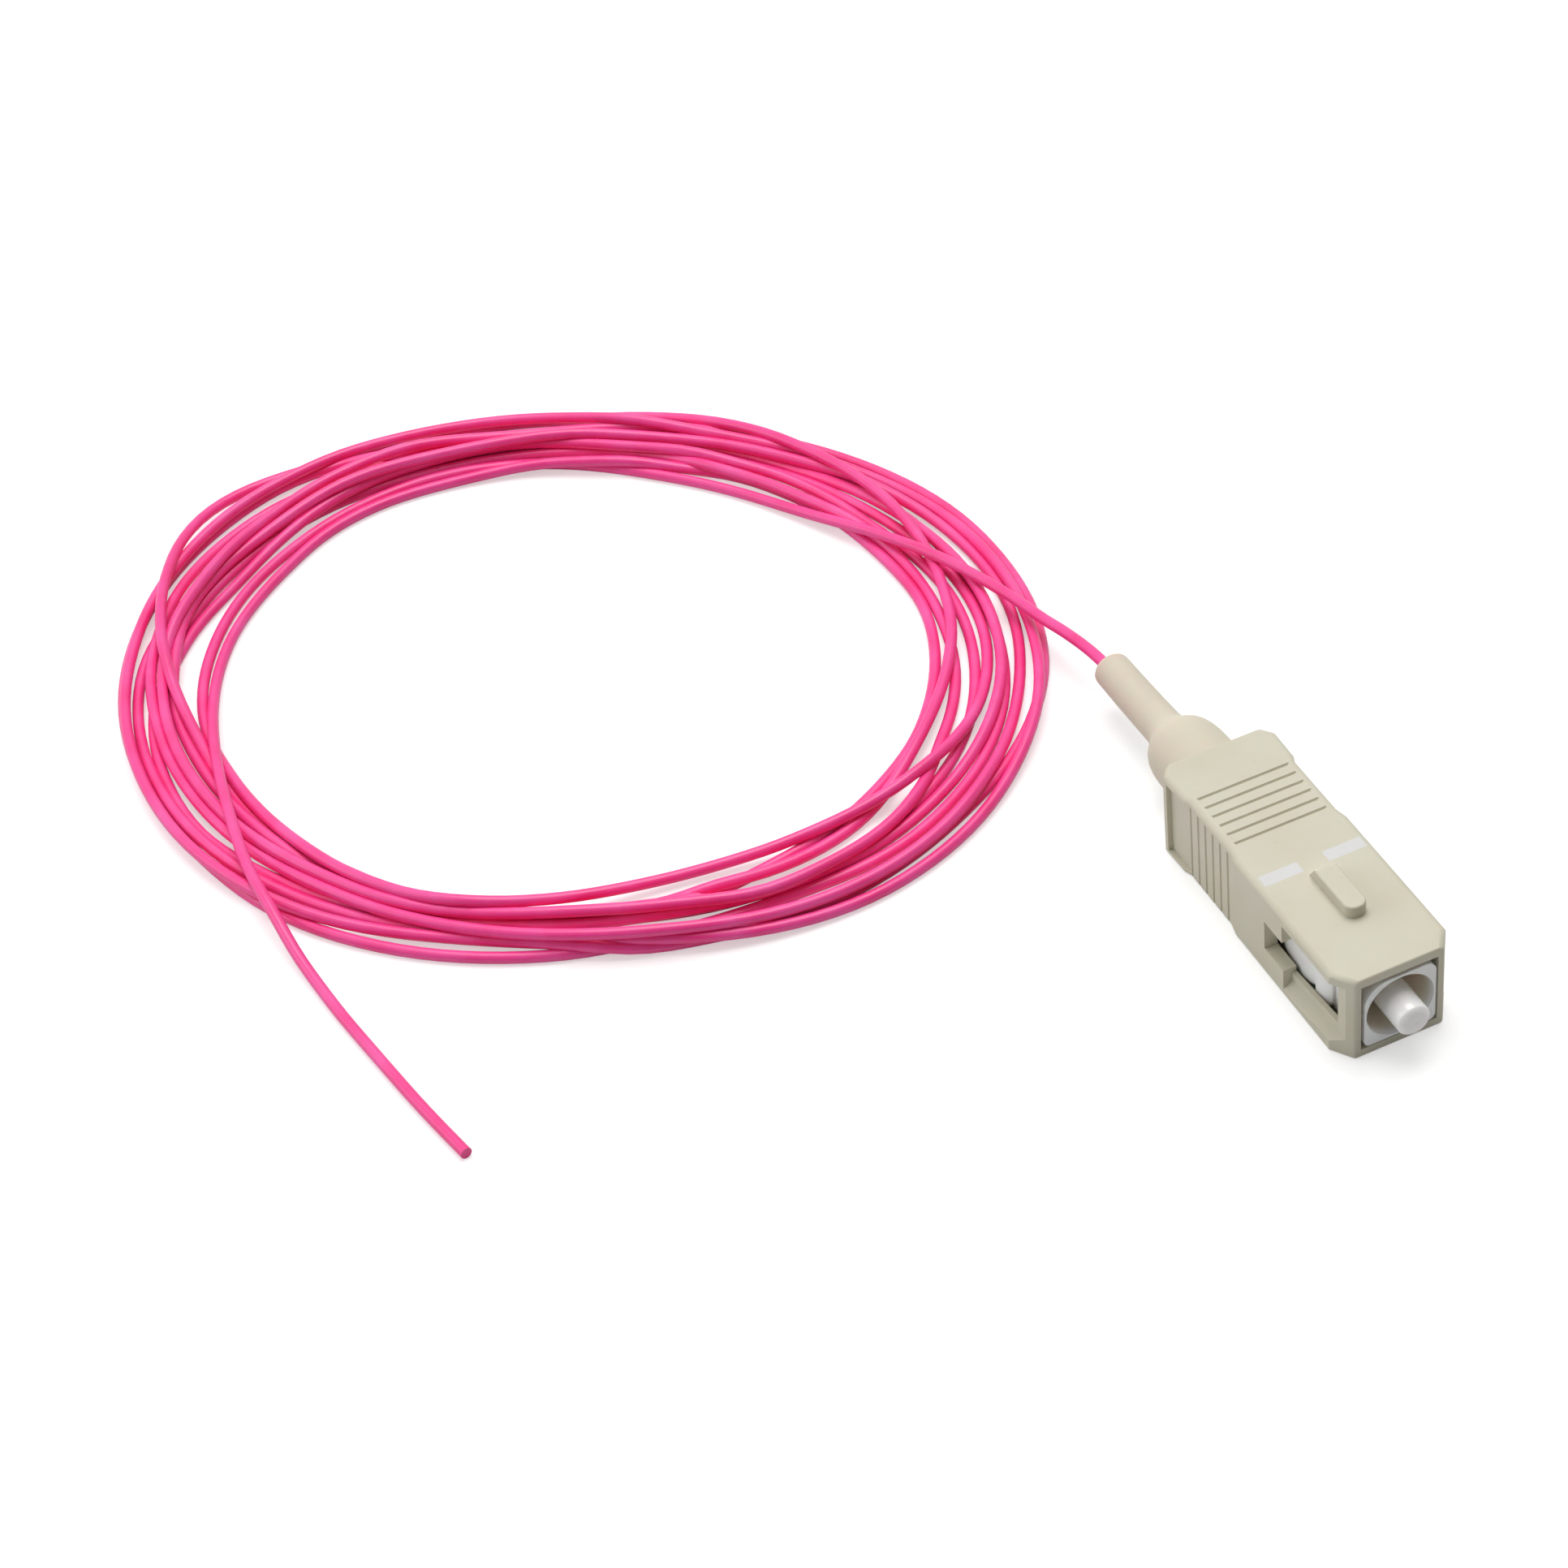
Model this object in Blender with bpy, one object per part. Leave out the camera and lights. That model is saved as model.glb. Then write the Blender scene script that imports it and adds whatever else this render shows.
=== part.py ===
"""Fibre optic pigtail: a square push-pull fibre connector on a coil of buffered fibre.

The connector lies along X on the floor plane z = 0, with its ferrule pointing to +X
and its boot to -X. The origin is under the middle of the connector. Places along the
connector are written as distances behind the housing's front face.
Units are metres, +Z is up.
"""

import math

import bmesh
import bpy
from mathutils import Matrix, Vector

# Outer housing
HOUSING_LENGTH = 0.0250
HOUSING_WIDTH = 0.0090
HOUSING_HEIGHT = 0.0074
FRONT_FACE_WIDTH = 0.0069
FRONT_CHAMFER_LENGTH = 0.0016
FRONT_SECTION_LENGTH = 0.0142
WAIST_DEPTH = 0.00026
WAIST_BLEND = 0.0010
WAIST_END = 0.0210
BLOCK_STEP_LENGTH = 0.0002
REAR_CHAMFER_LENGTH = 0.0008
REAR_CHAMFER_DEPTH = 0.0008
HOUSING_TOP_EDGE = 0.0004
HOUSING_BOTTOM_EDGE = 0.00018
FACE_EDGE_BREAK = 0.00012
PILLAR_LENGTH = 0.00156
SIDE_WALL = 0.00105

# Grooves of the grip
GROOVE_COUNT = 6
FIRST_GROOVE = 0.01555
GROOVE_PITCH = 0.00103
GROOVE_WIDTH = 0.0004
GROOVE_DEPTH = 0.0003
GROOVE_END_MARGIN = 0.0006

# Sunken panel on each side of the rear block
PANEL_DEPTH = 0.0003
PANEL_REAR_RIM = 0.0013
PANEL_LOWER_RIM = 0.0011

# Key on the top face
KEY_WIDTH = 0.00166
KEY_HEIGHT = 0.0010
KEY_START = 0.00517
KEY_LENGTH = 0.0045
KEY_CORNER_RADIUS = 0.0008
KEY_RAMP = 0.0009

# Window and recess on each side of the front section
WINDOW_REAR = 0.01015
WINDOW_SILL = 0.00245
WINDOW_STEP = 0.0078
WINDOW_REAR_TOP = 0.0049
RECESS_REAR = 0.00763
RECESS_DEPTH = 0.00068
RECESS_TOP = 0.0065
RECESS_BOTTOM = 0.00135
RECESS_SLOPE = 0.0006

# Inner frame
FRAME_WIDTH = 0.0055
FRAME_PROUD = 0.0001
FRAME_LENGTH = 0.0192
FRAME_CORNER_RADIUS = 0.0006
FRAME_BORE_RADIUS = 0.0025
FRAME_BORE_DEPTH = 0.0074
FRAME_BULKHEAD = 0.0010
FRAME_REAR_BORE_RADIUS = 0.0023
RIB_START = 0.0042
RIB_LENGTH = 0.00107
RIB_HEIGHT = 0.00037

# Ferrule
FERRULE_RADIUS = 0.00125
FERRULE_PROUD = 0.0021
FERRULE_TIP_CHAMFER = 0.00042
FERRULE_FLANGE_RADIUS = 0.0019
FERRULE_FLANGE_LENGTH = 0.0020
FERRULE_TRAVEL = 0.0010

# How far the outer housing slides back on the frame
HOUSING_TRAVEL = 0.0020

# Rear body that closes the frame and carries the boot
SPRING_ROOM = 0.0031
REAR_BODY_COLLAR = 0.0008
REAR_BODY_STEM_RADIUS = 0.0016
REAR_BODY_STEM_LENGTH = 0.0085

# Boot
BOOT_VISIBLE_LENGTH = 0.0152
BOOT_SHOULDER_RADIUS = 0.0028
BOOT_BULB_RADIUS = 0.00305
BOOT_BULB_START = 0.0012
BOOT_BULB_LENGTH = 0.0054
BOOT_BULB_END_RADIUS = 0.00262
BOOT_FLARE = 0.0017
BOOT_TUBE_RADIUS = 0.00155
BOOT_MOUTH_RADIUS = 0.00148
BOOT_MOUTH_ROUND = 0.0004

# Fibre
FIBRE_RADIUS = 0.00045
COIL_CENTRE = (-0.0454, -0.0347)
COIL_TURN = math.radians(41.0)
COIL_OUTER = (0.0376, 0.0318)
COIL_INNER = (0.0283, 0.0248)
COIL_HEIGHT = 0.0019
COIL_STRANDS_ACROSS = 7
COIL_GROOVE = 0.0003
COIL_STATIONS = 56

# Clearances
SLIDE_GAP = 0.00022
FIT_GAP = 0.0003

# Round pieces
ROUND_SEGMENTS = 32
SMOOTH_ANGLE = math.radians(32.0)

# Heights and lengths that follow from the sizes above
AXIS_Z = HOUSING_HEIGHT / 2
CONNECTOR_LENGTH = FERRULE_PROUD + HOUSING_LENGTH + BOOT_VISIBLE_LENGTH
FRONT_X = CONNECTOR_LENGTH / 2 - FERRULE_PROUD
MOUTH_X = -CONNECTOR_LENGTH / 2
CAVITY_HALF = FRAME_WIDTH / 2 + SLIDE_GAP
SIDE_CAVITY_HALF = HOUSING_WIDTH / 2 - SIDE_WALL
REAR_HOLE_RADIUS = BOOT_BULB_RADIUS + SLIDE_GAP
ON_COIL = COIL_HEIGHT + FIT_GAP + FIBRE_RADIUS
ON_FLOOR = FIBRE_RADIUS + 0.00005

# Points of the fibre where it isn't coiled, chosen by eye along its route
LEAD_POINTS = [
    (MOUTH_X + 0.0012, 0.0, AXIS_Z),
    (MOUTH_X - 0.0009, -0.0001, AXIS_Z),
    (-0.0242, -0.0005, 0.00354),
    (-0.0265, -0.0010, 0.00336),
    (-0.0288, -0.0016, 0.00316),
    (-0.0312, -0.0022, 0.00297),
    (-0.0340, -0.0030, 0.00280),
    (-0.0368, -0.0039, ON_COIL),
    (-0.0400, -0.0051, ON_COIL),
    (-0.0430, -0.0064, ON_COIL),
    (-0.0458, -0.0079, ON_COIL),
    (-0.0484, -0.0095, ON_COIL),
    (-0.0510, -0.0112, ON_COIL),
]
TAIL_POINTS = [
    (-0.0473, -0.0627, ON_COIL),
    (-0.0434, -0.0634, ON_COIL),
    (-0.0397, -0.0639, ON_COIL),
    (-0.0358, -0.0643, ON_COIL),
    (-0.0320, -0.0644, ON_COIL),
    (-0.0289, -0.0641, 0.00215),
    (-0.0262, -0.0638, 0.00140),
    (-0.0232, -0.0633, 0.00080),
    (-0.0195, -0.0628, ON_FLOOR),
    (-0.0160, -0.0622, ON_FLOOR),
    (-0.0126, -0.0616, ON_FLOOR),
    (-0.0082, -0.0608, ON_FLOOR),
    (-0.0028, -0.0596, ON_FLOOR),
]
TUBE_POINT_SPACING = 0.0022


def clear_scene():
    for old in list(bpy.data.objects):
        bpy.data.objects.remove(old, do_unlink=True)


def make_material(name, colour, roughness):
    material = bpy.data.materials.new(name)
    material.use_nodes = True
    shader = material.node_tree.nodes["Principled BSDF"]
    shader.inputs["Base Color"].default_value = (*colour, 1.0)
    shader.inputs["Roughness"].default_value = roughness
    shader.inputs["Metallic"].default_value = 0.0
    return material


def behind_front(distance):
    """World x of a place this far behind the housing's front face."""
    return FRONT_X - distance


def add_object(name, bm, material=None):
    """Closes the bmesh into a named object with faces pointing out."""
    bmesh.ops.recalc_face_normals(bm, faces=bm.faces)
    mesh = bpy.data.meshes.new(name)
    bm.to_mesh(mesh)
    bm.free()
    obj = bpy.data.objects.new(name, mesh)
    bpy.context.scene.collection.objects.link(obj)
    if material is not None:
        mesh.materials.append(material)
    return obj


def shade_round(obj):
    obj.data.shade_smooth()
    obj.data.set_sharp_from_angle(angle=SMOOTH_ANGLE)


def rounded_section(half_width, half_height, top_radius, bottom_radius, steps=3):
    """(y, z) points of a rectangle with rounded corners, about the connector's axis."""
    points = []
    for corner, (side_y, side_z) in enumerate(((1, 1), (-1, 1), (-1, -1), (1, -1))):
        radius = top_radius if side_z > 0 else bottom_radius
        centre_y = side_y * (half_width - radius)
        centre_z = side_z * (half_height - radius)
        for step in range(steps + 1):
            angle = math.pi / 2 * (corner + step / steps)
            y = centre_y + radius * math.cos(angle)
            z = AXIS_Z + centre_z + radius * math.sin(angle)
            points.append((y, z))
    return points


def lofted(name, stations, material):
    """A solid through rounded sections.

    Each station is (x, half width, half height, top edge radius, bottom edge radius).
    """
    bm = bmesh.new()
    loops = []
    for x, *sizes in stations:
        section = rounded_section(*sizes)
        loops.append([bm.verts.new((x, y, z)) for y, z in section])
    count = len(loops[0])
    for first, second in zip(loops, loops[1:]):
        for i in range(count):
            after = (i + 1) % count
            bm.faces.new((first[i], first[after], second[after], second[i]))
    bm.faces.new(loops[0])
    bm.faces.new(loops[-1])
    return add_object(name, bm, material)


def turned(name, profile, material=None):
    """A solid turned about the connector's axis: profile is (x, radius) points.

    A profile that starts and ends at radius 0 is solid, any other is closed on itself.
    """
    bm = bmesh.new()
    solid = profile[0][1] == 0 and profile[-1][1] == 0
    rings = []
    for x, radius in profile:
        if radius == 0:
            rings.append([bm.verts.new((x, 0, AXIS_Z))])
            continue
        ring = []
        for i in range(ROUND_SEGMENTS):
            angle = 2 * math.pi * i / ROUND_SEGMENTS
            ring.append(
                bm.verts.new((x, radius * math.cos(angle), AXIS_Z + radius * math.sin(angle)))
            )
        rings.append(ring)
    pairs = list(zip(rings, rings[1:]))
    if not solid:
        pairs.append((rings[-1], rings[0]))
    for first, second in pairs:
        for i in range(ROUND_SEGMENTS):
            after = (i + 1) % ROUND_SEGMENTS
            if len(first) == 1:
                bm.faces.new((first[0], second[i], second[after]))
            elif len(second) == 1:
                bm.faces.new((first[i], first[after], second[0]))
            else:
                bm.faces.new((first[i], first[after], second[after], second[i]))
    return add_object(name, bm, material)


def add_box(bm, low, high):
    """Adds a box between two corners to the bmesh."""
    size = [b - a for a, b in zip(low, high)]
    middle = [(a + b) / 2 for a, b in zip(low, high)]
    matrix = Matrix.Translation(middle) @ Matrix.Diagonal((*size, 1.0))
    bmesh.ops.create_cube(bm, size=1.0, matrix=matrix)


def add_prism(bm, outline, direction):
    """Adds a straight solid: the outline's points, moved along the direction."""
    near = [bm.verts.new(point) for point in outline]
    far = [bm.verts.new(Vector(point) + Vector(direction)) for point in outline]
    count = len(near)
    for i in range(count):
        after = (i + 1) % count
        bm.faces.new((near[i], near[after], far[after], far[i]))
    bm.faces.new(near)
    bm.faces.new(far)


def cut(target, cutter, operation="DIFFERENCE"):
    cutter.hide_render = True
    cutter.display_type = "WIRE"
    modifier = target.modifiers.new(cutter.name, "BOOLEAN")
    modifier.operation = operation
    modifier.object = cutter


def housing_cavity():
    """The square way through, wider beside the frame, and the round hole for the boot."""
    past = FACE_EDGE_BREAK * 4
    rear_wall = HOUSING_TRAVEL + SLIDE_GAP
    bm = bmesh.new()
    add_box(
        bm,
        (behind_front(HOUSING_LENGTH - rear_wall), -CAVITY_HALF, AXIS_Z - CAVITY_HALF),
        (behind_front(-past), CAVITY_HALF, AXIS_Z + CAVITY_HALF),
    )
    square = add_object("cavity_cutter", bm)
    bm = bmesh.new()
    add_box(
        bm,
        (behind_front(FIRST_GROOVE - WAIST_BLEND), -SIDE_CAVITY_HALF, AXIS_Z - CAVITY_HALF + past),
        (behind_front(PILLAR_LENGTH), SIDE_CAVITY_HALF, AXIS_Z + CAVITY_HALF - past),
    )
    side = add_object("side_cavity_cutter", bm)
    hole = turned(
        "rear_hole_cutter",
        [
            (behind_front(HOUSING_LENGTH + past), 0),
            (behind_front(HOUSING_LENGTH + past), REAR_HOLE_RADIUS),
            (behind_front(HOUSING_LENGTH - rear_wall - past), REAR_HOLE_RADIUS),
            (behind_front(HOUSING_LENGTH - rear_wall - past), 0),
        ],
    )
    return square, side, hole


def housing_grooves():
    """Grooves across the top and bottom faces, and up both sides, of the grip."""
    past = GROOVE_DEPTH
    side_half = HOUSING_WIDTH / 2 - WAIST_DEPTH
    flat_half = side_half - GROOVE_END_MARGIN
    bm = bmesh.new()
    for i in range(GROOVE_COUNT):
        middle = behind_front(FIRST_GROOVE + i * GROOVE_PITCH)
        low_x = middle - GROOVE_WIDTH / 2
        high_x = middle + GROOVE_WIDTH / 2
        add_box(
            bm,
            (low_x, -flat_half, HOUSING_HEIGHT - GROOVE_DEPTH),
            (high_x, flat_half, HOUSING_HEIGHT + past),
        )
        add_box(bm, (low_x, -flat_half, -past), (high_x, flat_half, GROOVE_DEPTH))
        for side in (-1, 1):
            inner = side * (side_half - GROOVE_DEPTH)
            outer = side * (side_half + past)
            add_box(
                bm,
                (low_x, min(inner, outer), GROOVE_END_MARGIN),
                (high_x, max(inner, outer), HOUSING_HEIGHT - GROOVE_END_MARGIN),
            )
    return add_object("groove_cutter", bm)


def housing_panels():
    """The sunken panel between the rear rim and the grip, on both sides."""
    bm = bmesh.new()
    inner = HOUSING_WIDTH / 2 - PANEL_DEPTH
    outer = HOUSING_WIDTH / 2 + PANEL_DEPTH
    for side in (-1, 1):
        add_box(
            bm,
            (
                behind_front(HOUSING_LENGTH - PANEL_REAR_RIM),
                min(side * inner, side * outer),
                PANEL_LOWER_RIM,
            ),
            (
                behind_front(WAIST_END - GROOVE_WIDTH / 2),
                max(side * inner, side * outer),
                HOUSING_HEIGHT - PANEL_LOWER_RIM,
            ),
        )
    return add_object("panel_cutter", bm)


def housing_recesses():
    """The scooped recess that runs from the window's tab to the front, on both sides."""
    bm = bmesh.new()
    floor = HOUSING_WIDTH / 2 - RECESS_DEPTH
    outside = HOUSING_WIDTH / 2 + RECESS_DEPTH
    rise = RECESS_SLOPE * (outside - floor) / RECESS_DEPTH
    for side in (-1, 1):
        outline = [
            (behind_front(RECESS_REAR), side * floor, RECESS_BOTTOM),
            (behind_front(RECESS_REAR), side * floor, RECESS_TOP),
            (behind_front(RECESS_REAR), side * outside, RECESS_TOP),
            (behind_front(RECESS_REAR), side * outside, RECESS_BOTTOM - rise),
        ]
        add_prism(bm, outline, (RECESS_REAR + RECESS_DEPTH, 0, 0))
    return add_object("recess_cutter", bm)


def housing_windows():
    """The stepped window through each side wall."""
    bm = bmesh.new()
    inner = SIDE_CAVITY_HALF - FIT_GAP
    outer = HOUSING_WIDTH / 2 + FIT_GAP
    for side in (-1, 1):
        outline = [
            (behind_front(WINDOW_REAR), side * inner, WINDOW_SILL),
            (behind_front(PILLAR_LENGTH), side * inner, WINDOW_SILL),
            (behind_front(PILLAR_LENGTH), side * inner, RECESS_TOP),
            (behind_front(WINDOW_STEP), side * inner, RECESS_TOP),
            (behind_front(WINDOW_STEP), side * inner, WINDOW_REAR_TOP),
            (behind_front(WINDOW_REAR), side * inner, WINDOW_REAR_TOP),
        ]
        add_prism(bm, outline, (0, side * (outer - inner), 0))
    return add_object("window_cutter", bm)


def housing_key():
    """The key on the top face: round at the front corners, with a ramp at its rear."""
    half = KEY_WIDTH / 2
    root = HOUSING_HEIGHT - FIT_GAP
    top = HOUSING_HEIGHT + KEY_HEIGHT
    front = behind_front(KEY_START)
    rear = behind_front(KEY_START + KEY_LENGTH)
    radius = min(KEY_CORNER_RADIUS, half * 0.95)
    steps = 5
    outline = []
    for side in (-1, 1):
        arc = []
        for step in range(steps + 1):
            angle = math.pi / 2 * step / steps
            x = front - radius + radius * math.cos(angle)
            y = side * (half - radius + radius * math.sin(angle))
            arc.append((x, y))
        outline += arc[::-1] if side < 0 else arc
    bm = bmesh.new()
    low = [bm.verts.new((x, y, root)) for x, y in outline]
    low += [bm.verts.new((rear - KEY_RAMP, y, root)) for y in (half, -half)]
    high = [bm.verts.new((x, y, top)) for x, y in outline]
    high += [bm.verts.new((rear, y, top)) for y in (half, -half)]
    count = len(low)
    for i in range(count):
        after = (i + 1) % count
        bm.faces.new((low[i], low[after], high[after], high[i]))
    bm.faces.new(low)
    bm.faces.new(high)
    return add_object("key_shape", bm)


def make_housing(material):
    half = HOUSING_WIDTH / 2
    tall = HOUSING_HEIGHT / 2
    edges = (HOUSING_TOP_EDGE, HOUSING_BOTTOM_EDGE)
    face = FRONT_FACE_WIDTH / 2
    waist = half - WAIST_DEPTH
    rear = half - REAR_CHAMFER_DEPTH
    cut_back = FACE_EDGE_BREAK
    stations = [
        (behind_front(0), face - cut_back, tall - cut_back, *edges),
        (behind_front(cut_back), face, tall, *edges),
        (behind_front(FRONT_CHAMFER_LENGTH), half, tall, *edges),
        (behind_front(FRONT_SECTION_LENGTH), half, tall, *edges),
        (behind_front(FRONT_SECTION_LENGTH + WAIST_BLEND), waist, tall, *edges),
        (behind_front(WAIST_END), waist, tall, *edges),
        (behind_front(WAIST_END + BLOCK_STEP_LENGTH), half, tall, *edges),
        (behind_front(HOUSING_LENGTH - REAR_CHAMFER_LENGTH), half, tall, *edges),
        (behind_front(HOUSING_LENGTH - cut_back), rear, tall, *edges),
        (behind_front(HOUSING_LENGTH), rear - cut_back, tall - cut_back, *edges),
    ]
    housing = lofted("outer_housing", stations, material)
    cut(housing, housing_key(), "UNION")
    for cutter in housing_cavity():
        cut(housing, cutter)
    cut(housing, housing_grooves())
    cut(housing, housing_panels())
    cut(housing, housing_recesses())
    cut(housing, housing_windows())
    shade_round(housing)
    return housing


def make_frame(material):
    half = FRAME_WIDTH / 2
    edges = (FRAME_CORNER_RADIUS, FRAME_CORNER_RADIUS)
    cut_back = FACE_EDGE_BREAK
    rib_half = half + RIB_HEIGHT
    lean = RIB_HEIGHT / 4
    stations = [
        (behind_front(-FRAME_PROUD), half - cut_back, half - cut_back, *edges),
        (behind_front(cut_back - FRAME_PROUD), half, half, *edges),
        (behind_front(RIB_START), half, half, *edges),
        (behind_front(RIB_START + lean), rib_half, half, *edges),
        (behind_front(RIB_START + RIB_LENGTH), rib_half, half, *edges),
        (behind_front(RIB_START + RIB_LENGTH + lean), half, half, *edges),
        (behind_front(FRAME_LENGTH - FRAME_PROUD - cut_back), half, half, *edges),
        (behind_front(FRAME_LENGTH - FRAME_PROUD), half - cut_back, half - cut_back, *edges),
    ]
    frame = lofted("inner_frame", stations, material)
    past = FIT_GAP
    bulkhead = FRAME_BORE_DEPTH + FRAME_BULKHEAD
    hole = FERRULE_RADIUS + FIT_GAP
    bore = turned(
        "frame_bore_cutter",
        [
            (behind_front(-FRAME_PROUD - past), 0),
            (behind_front(-FRAME_PROUD - past), FRAME_BORE_RADIUS),
            (behind_front(FRAME_BORE_DEPTH), FRAME_BORE_RADIUS),
            (behind_front(FRAME_BORE_DEPTH), hole),
            (behind_front(bulkhead), hole),
            (behind_front(bulkhead), FRAME_REAR_BORE_RADIUS),
            (behind_front(FRAME_LENGTH - FRAME_PROUD + past), FRAME_REAR_BORE_RADIUS),
            (behind_front(FRAME_LENGTH - FRAME_PROUD + past), 0),
        ],
    )
    cut(frame, bore)
    shade_round(frame)
    return frame


def ferrule_flange_rear():
    return FRAME_BORE_DEPTH + FRAME_BULKHEAD + FIT_GAP + FERRULE_FLANGE_LENGTH


def make_ferrule(material):
    """A ceramic rod with a chamfered tip, and the flange that holds it in the frame."""
    flange_rear = ferrule_flange_rear()
    flange_front = flange_rear - FERRULE_FLANGE_LENGTH
    tip = FERRULE_TIP_CHAMFER
    ferrule = turned(
        "ferrule",
        [
            (behind_front(-FERRULE_PROUD), 0),
            (behind_front(-FERRULE_PROUD), FERRULE_RADIUS - tip),
            (behind_front(tip / 4 - FERRULE_PROUD), FERRULE_RADIUS - tip * 0.72),
            (behind_front(tip - FERRULE_PROUD), FERRULE_RADIUS - tip * 0.12),
            (behind_front(tip * 1.5 - FERRULE_PROUD), FERRULE_RADIUS),
            (behind_front(flange_front), FERRULE_RADIUS),
            (behind_front(flange_front), FERRULE_FLANGE_RADIUS),
            (behind_front(flange_rear), FERRULE_FLANGE_RADIUS),
            (behind_front(flange_rear), 0),
        ],
        material,
    )
    shade_round(ferrule)
    return ferrule


def rear_body_front():
    """Where the rear body's plug starts: behind the flange's travel and its spring."""
    return ferrule_flange_rear() + FERRULE_TRAVEL + SPRING_ROOM


def collar_rear():
    return FRAME_LENGTH - FRAME_PROUD + FIT_GAP + REAR_BODY_COLLAR


def make_rear_body(material):
    """The plug in the frame's rear bore, its collar, and the stem that the boot is pushed on."""
    plug = FRAME_REAR_BORE_RADIUS - FIT_GAP
    collar_front = FRAME_LENGTH - FRAME_PROUD + FIT_GAP
    way = FIBRE_RADIUS + FIT_GAP
    body = turned(
        "rear_body",
        [
            (behind_front(rear_body_front()), way),
            (behind_front(rear_body_front()), plug),
            (behind_front(collar_front), plug),
            (behind_front(collar_front), BOOT_SHOULDER_RADIUS),
            (behind_front(collar_rear()), BOOT_SHOULDER_RADIUS),
            (behind_front(collar_rear()), REAR_BODY_STEM_RADIUS),
            (behind_front(collar_rear() + REAR_BODY_STEM_LENGTH), REAR_BODY_STEM_RADIUS),
            (behind_front(collar_rear() + REAR_BODY_STEM_LENGTH), way),
        ],
        material,
    )
    shade_round(body)
    return body


def make_boot(material):
    """The soft boot: shoulder inside the housing, bulb behind it, then a thin sleeve."""
    front = collar_rear() + FIT_GAP
    mouth = HOUSING_LENGTH + BOOT_VISIBLE_LENGTH
    bulb = HOUSING_LENGTH + BOOT_BULB_START
    bulb_end = HOUSING_LENGTH + BOOT_BULB_LENGTH
    tube = bulb_end + BOOT_FLARE
    socket_end = collar_rear() + REAR_BODY_STEM_LENGTH + FIT_GAP
    way = FIBRE_RADIUS + FIT_GAP
    socket = REAR_BODY_STEM_RADIUS + FIT_GAP
    flare = BOOT_BULB_END_RADIUS - BOOT_TUBE_RADIUS
    turn = BOOT_MOUTH_ROUND
    rise = (BOOT_SHOULDER_RADIUS + BOOT_BULB_RADIUS) / 2
    fall = (BOOT_BULB_RADIUS + BOOT_BULB_END_RADIUS) / 2
    profile = [
        (behind_front(front), socket),
        (behind_front(front), BOOT_SHOULDER_RADIUS),
        (behind_front(HOUSING_LENGTH - FIT_GAP), BOOT_SHOULDER_RADIUS),
        (behind_front(HOUSING_LENGTH + BOOT_BULB_START / 2), rise),
        (behind_front(bulb), BOOT_BULB_RADIUS),
        (behind_front((bulb + bulb_end) / 2), fall),
    ]
    flare_steps = 6
    for step in range(flare_steps + 1):
        share = step / flare_steps
        ease = (1 + math.cos(math.pi * share)) / 2
        x = behind_front(bulb_end + BOOT_FLARE * share)
        profile.append((x, BOOT_TUBE_RADIUS + flare * ease))
    profile += [
        (behind_front((tube + mouth) / 2), (BOOT_TUBE_RADIUS + BOOT_MOUTH_RADIUS) / 2),
        (behind_front(mouth - turn), BOOT_MOUTH_RADIUS),
        (behind_front(mouth - turn * 0.3), BOOT_MOUTH_RADIUS - turn * 0.3),
        (behind_front(mouth), BOOT_MOUTH_RADIUS - turn),
        (behind_front(mouth), way),
        (behind_front(socket_end), way),
        (behind_front(socket_end), socket),
    ]
    boot = turned("boot", profile, material)
    shade_round(boot)
    return boot


def coil_profile():
    """(share across, z) points round the coil's section: a bump for each strand."""
    count = COIL_STRANDS_ACROSS
    points = [(0.0, COIL_HEIGHT - COIL_GROOVE)]
    for strand in range(count):
        for share, lift in ((0.3, 0.8), (0.7, 0.8), (1.0, 0.0)):
            height = COIL_HEIGHT - COIL_GROOVE * (1 - lift) - COIL_GROOVE * 0.2
            points.append(((strand + share) / count, height))
    for strand in reversed(range(count)):
        points.append(((strand + 1) / count, COIL_GROOVE))
        points.append(((strand + 0.5) / count, 0.0))
    points.append((0.0, COIL_GROOVE))
    points[0] = (0.0, points[3][1])
    return points


def make_coil(material):
    """The wound fibre as one oval ring, with its strands as ridges on both faces."""
    bm = bmesh.new()
    turn = Matrix.Rotation(COIL_TURN, 2)
    centre = Vector(COIL_CENTRE)
    profile = coil_profile()
    rings = []
    for station in range(COIL_STATIONS):
        angle = 2 * math.pi * station / COIL_STATIONS
        direction = Vector((math.cos(angle), math.sin(angle)))
        inner = Vector((COIL_INNER[0] * direction.x, COIL_INNER[1] * direction.y))
        outer = Vector((COIL_OUTER[0] * direction.x, COIL_OUTER[1] * direction.y))
        ring = []
        for share, z in profile:
            place = centre + turn @ inner.lerp(outer, share)
            ring.append(bm.verts.new((place.x, place.y, z)))
        rings.append(ring)
    count = len(profile)
    for station in range(COIL_STATIONS):
        first = rings[station]
        second = rings[(station + 1) % COIL_STATIONS]
        for i in range(count):
            after = (i + 1) % count
            bm.faces.new((first[i], first[after], second[after], second[i]))
    coil = add_object("fibre_coil", bm, material)
    shade_round(coil)
    return coil


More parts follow.
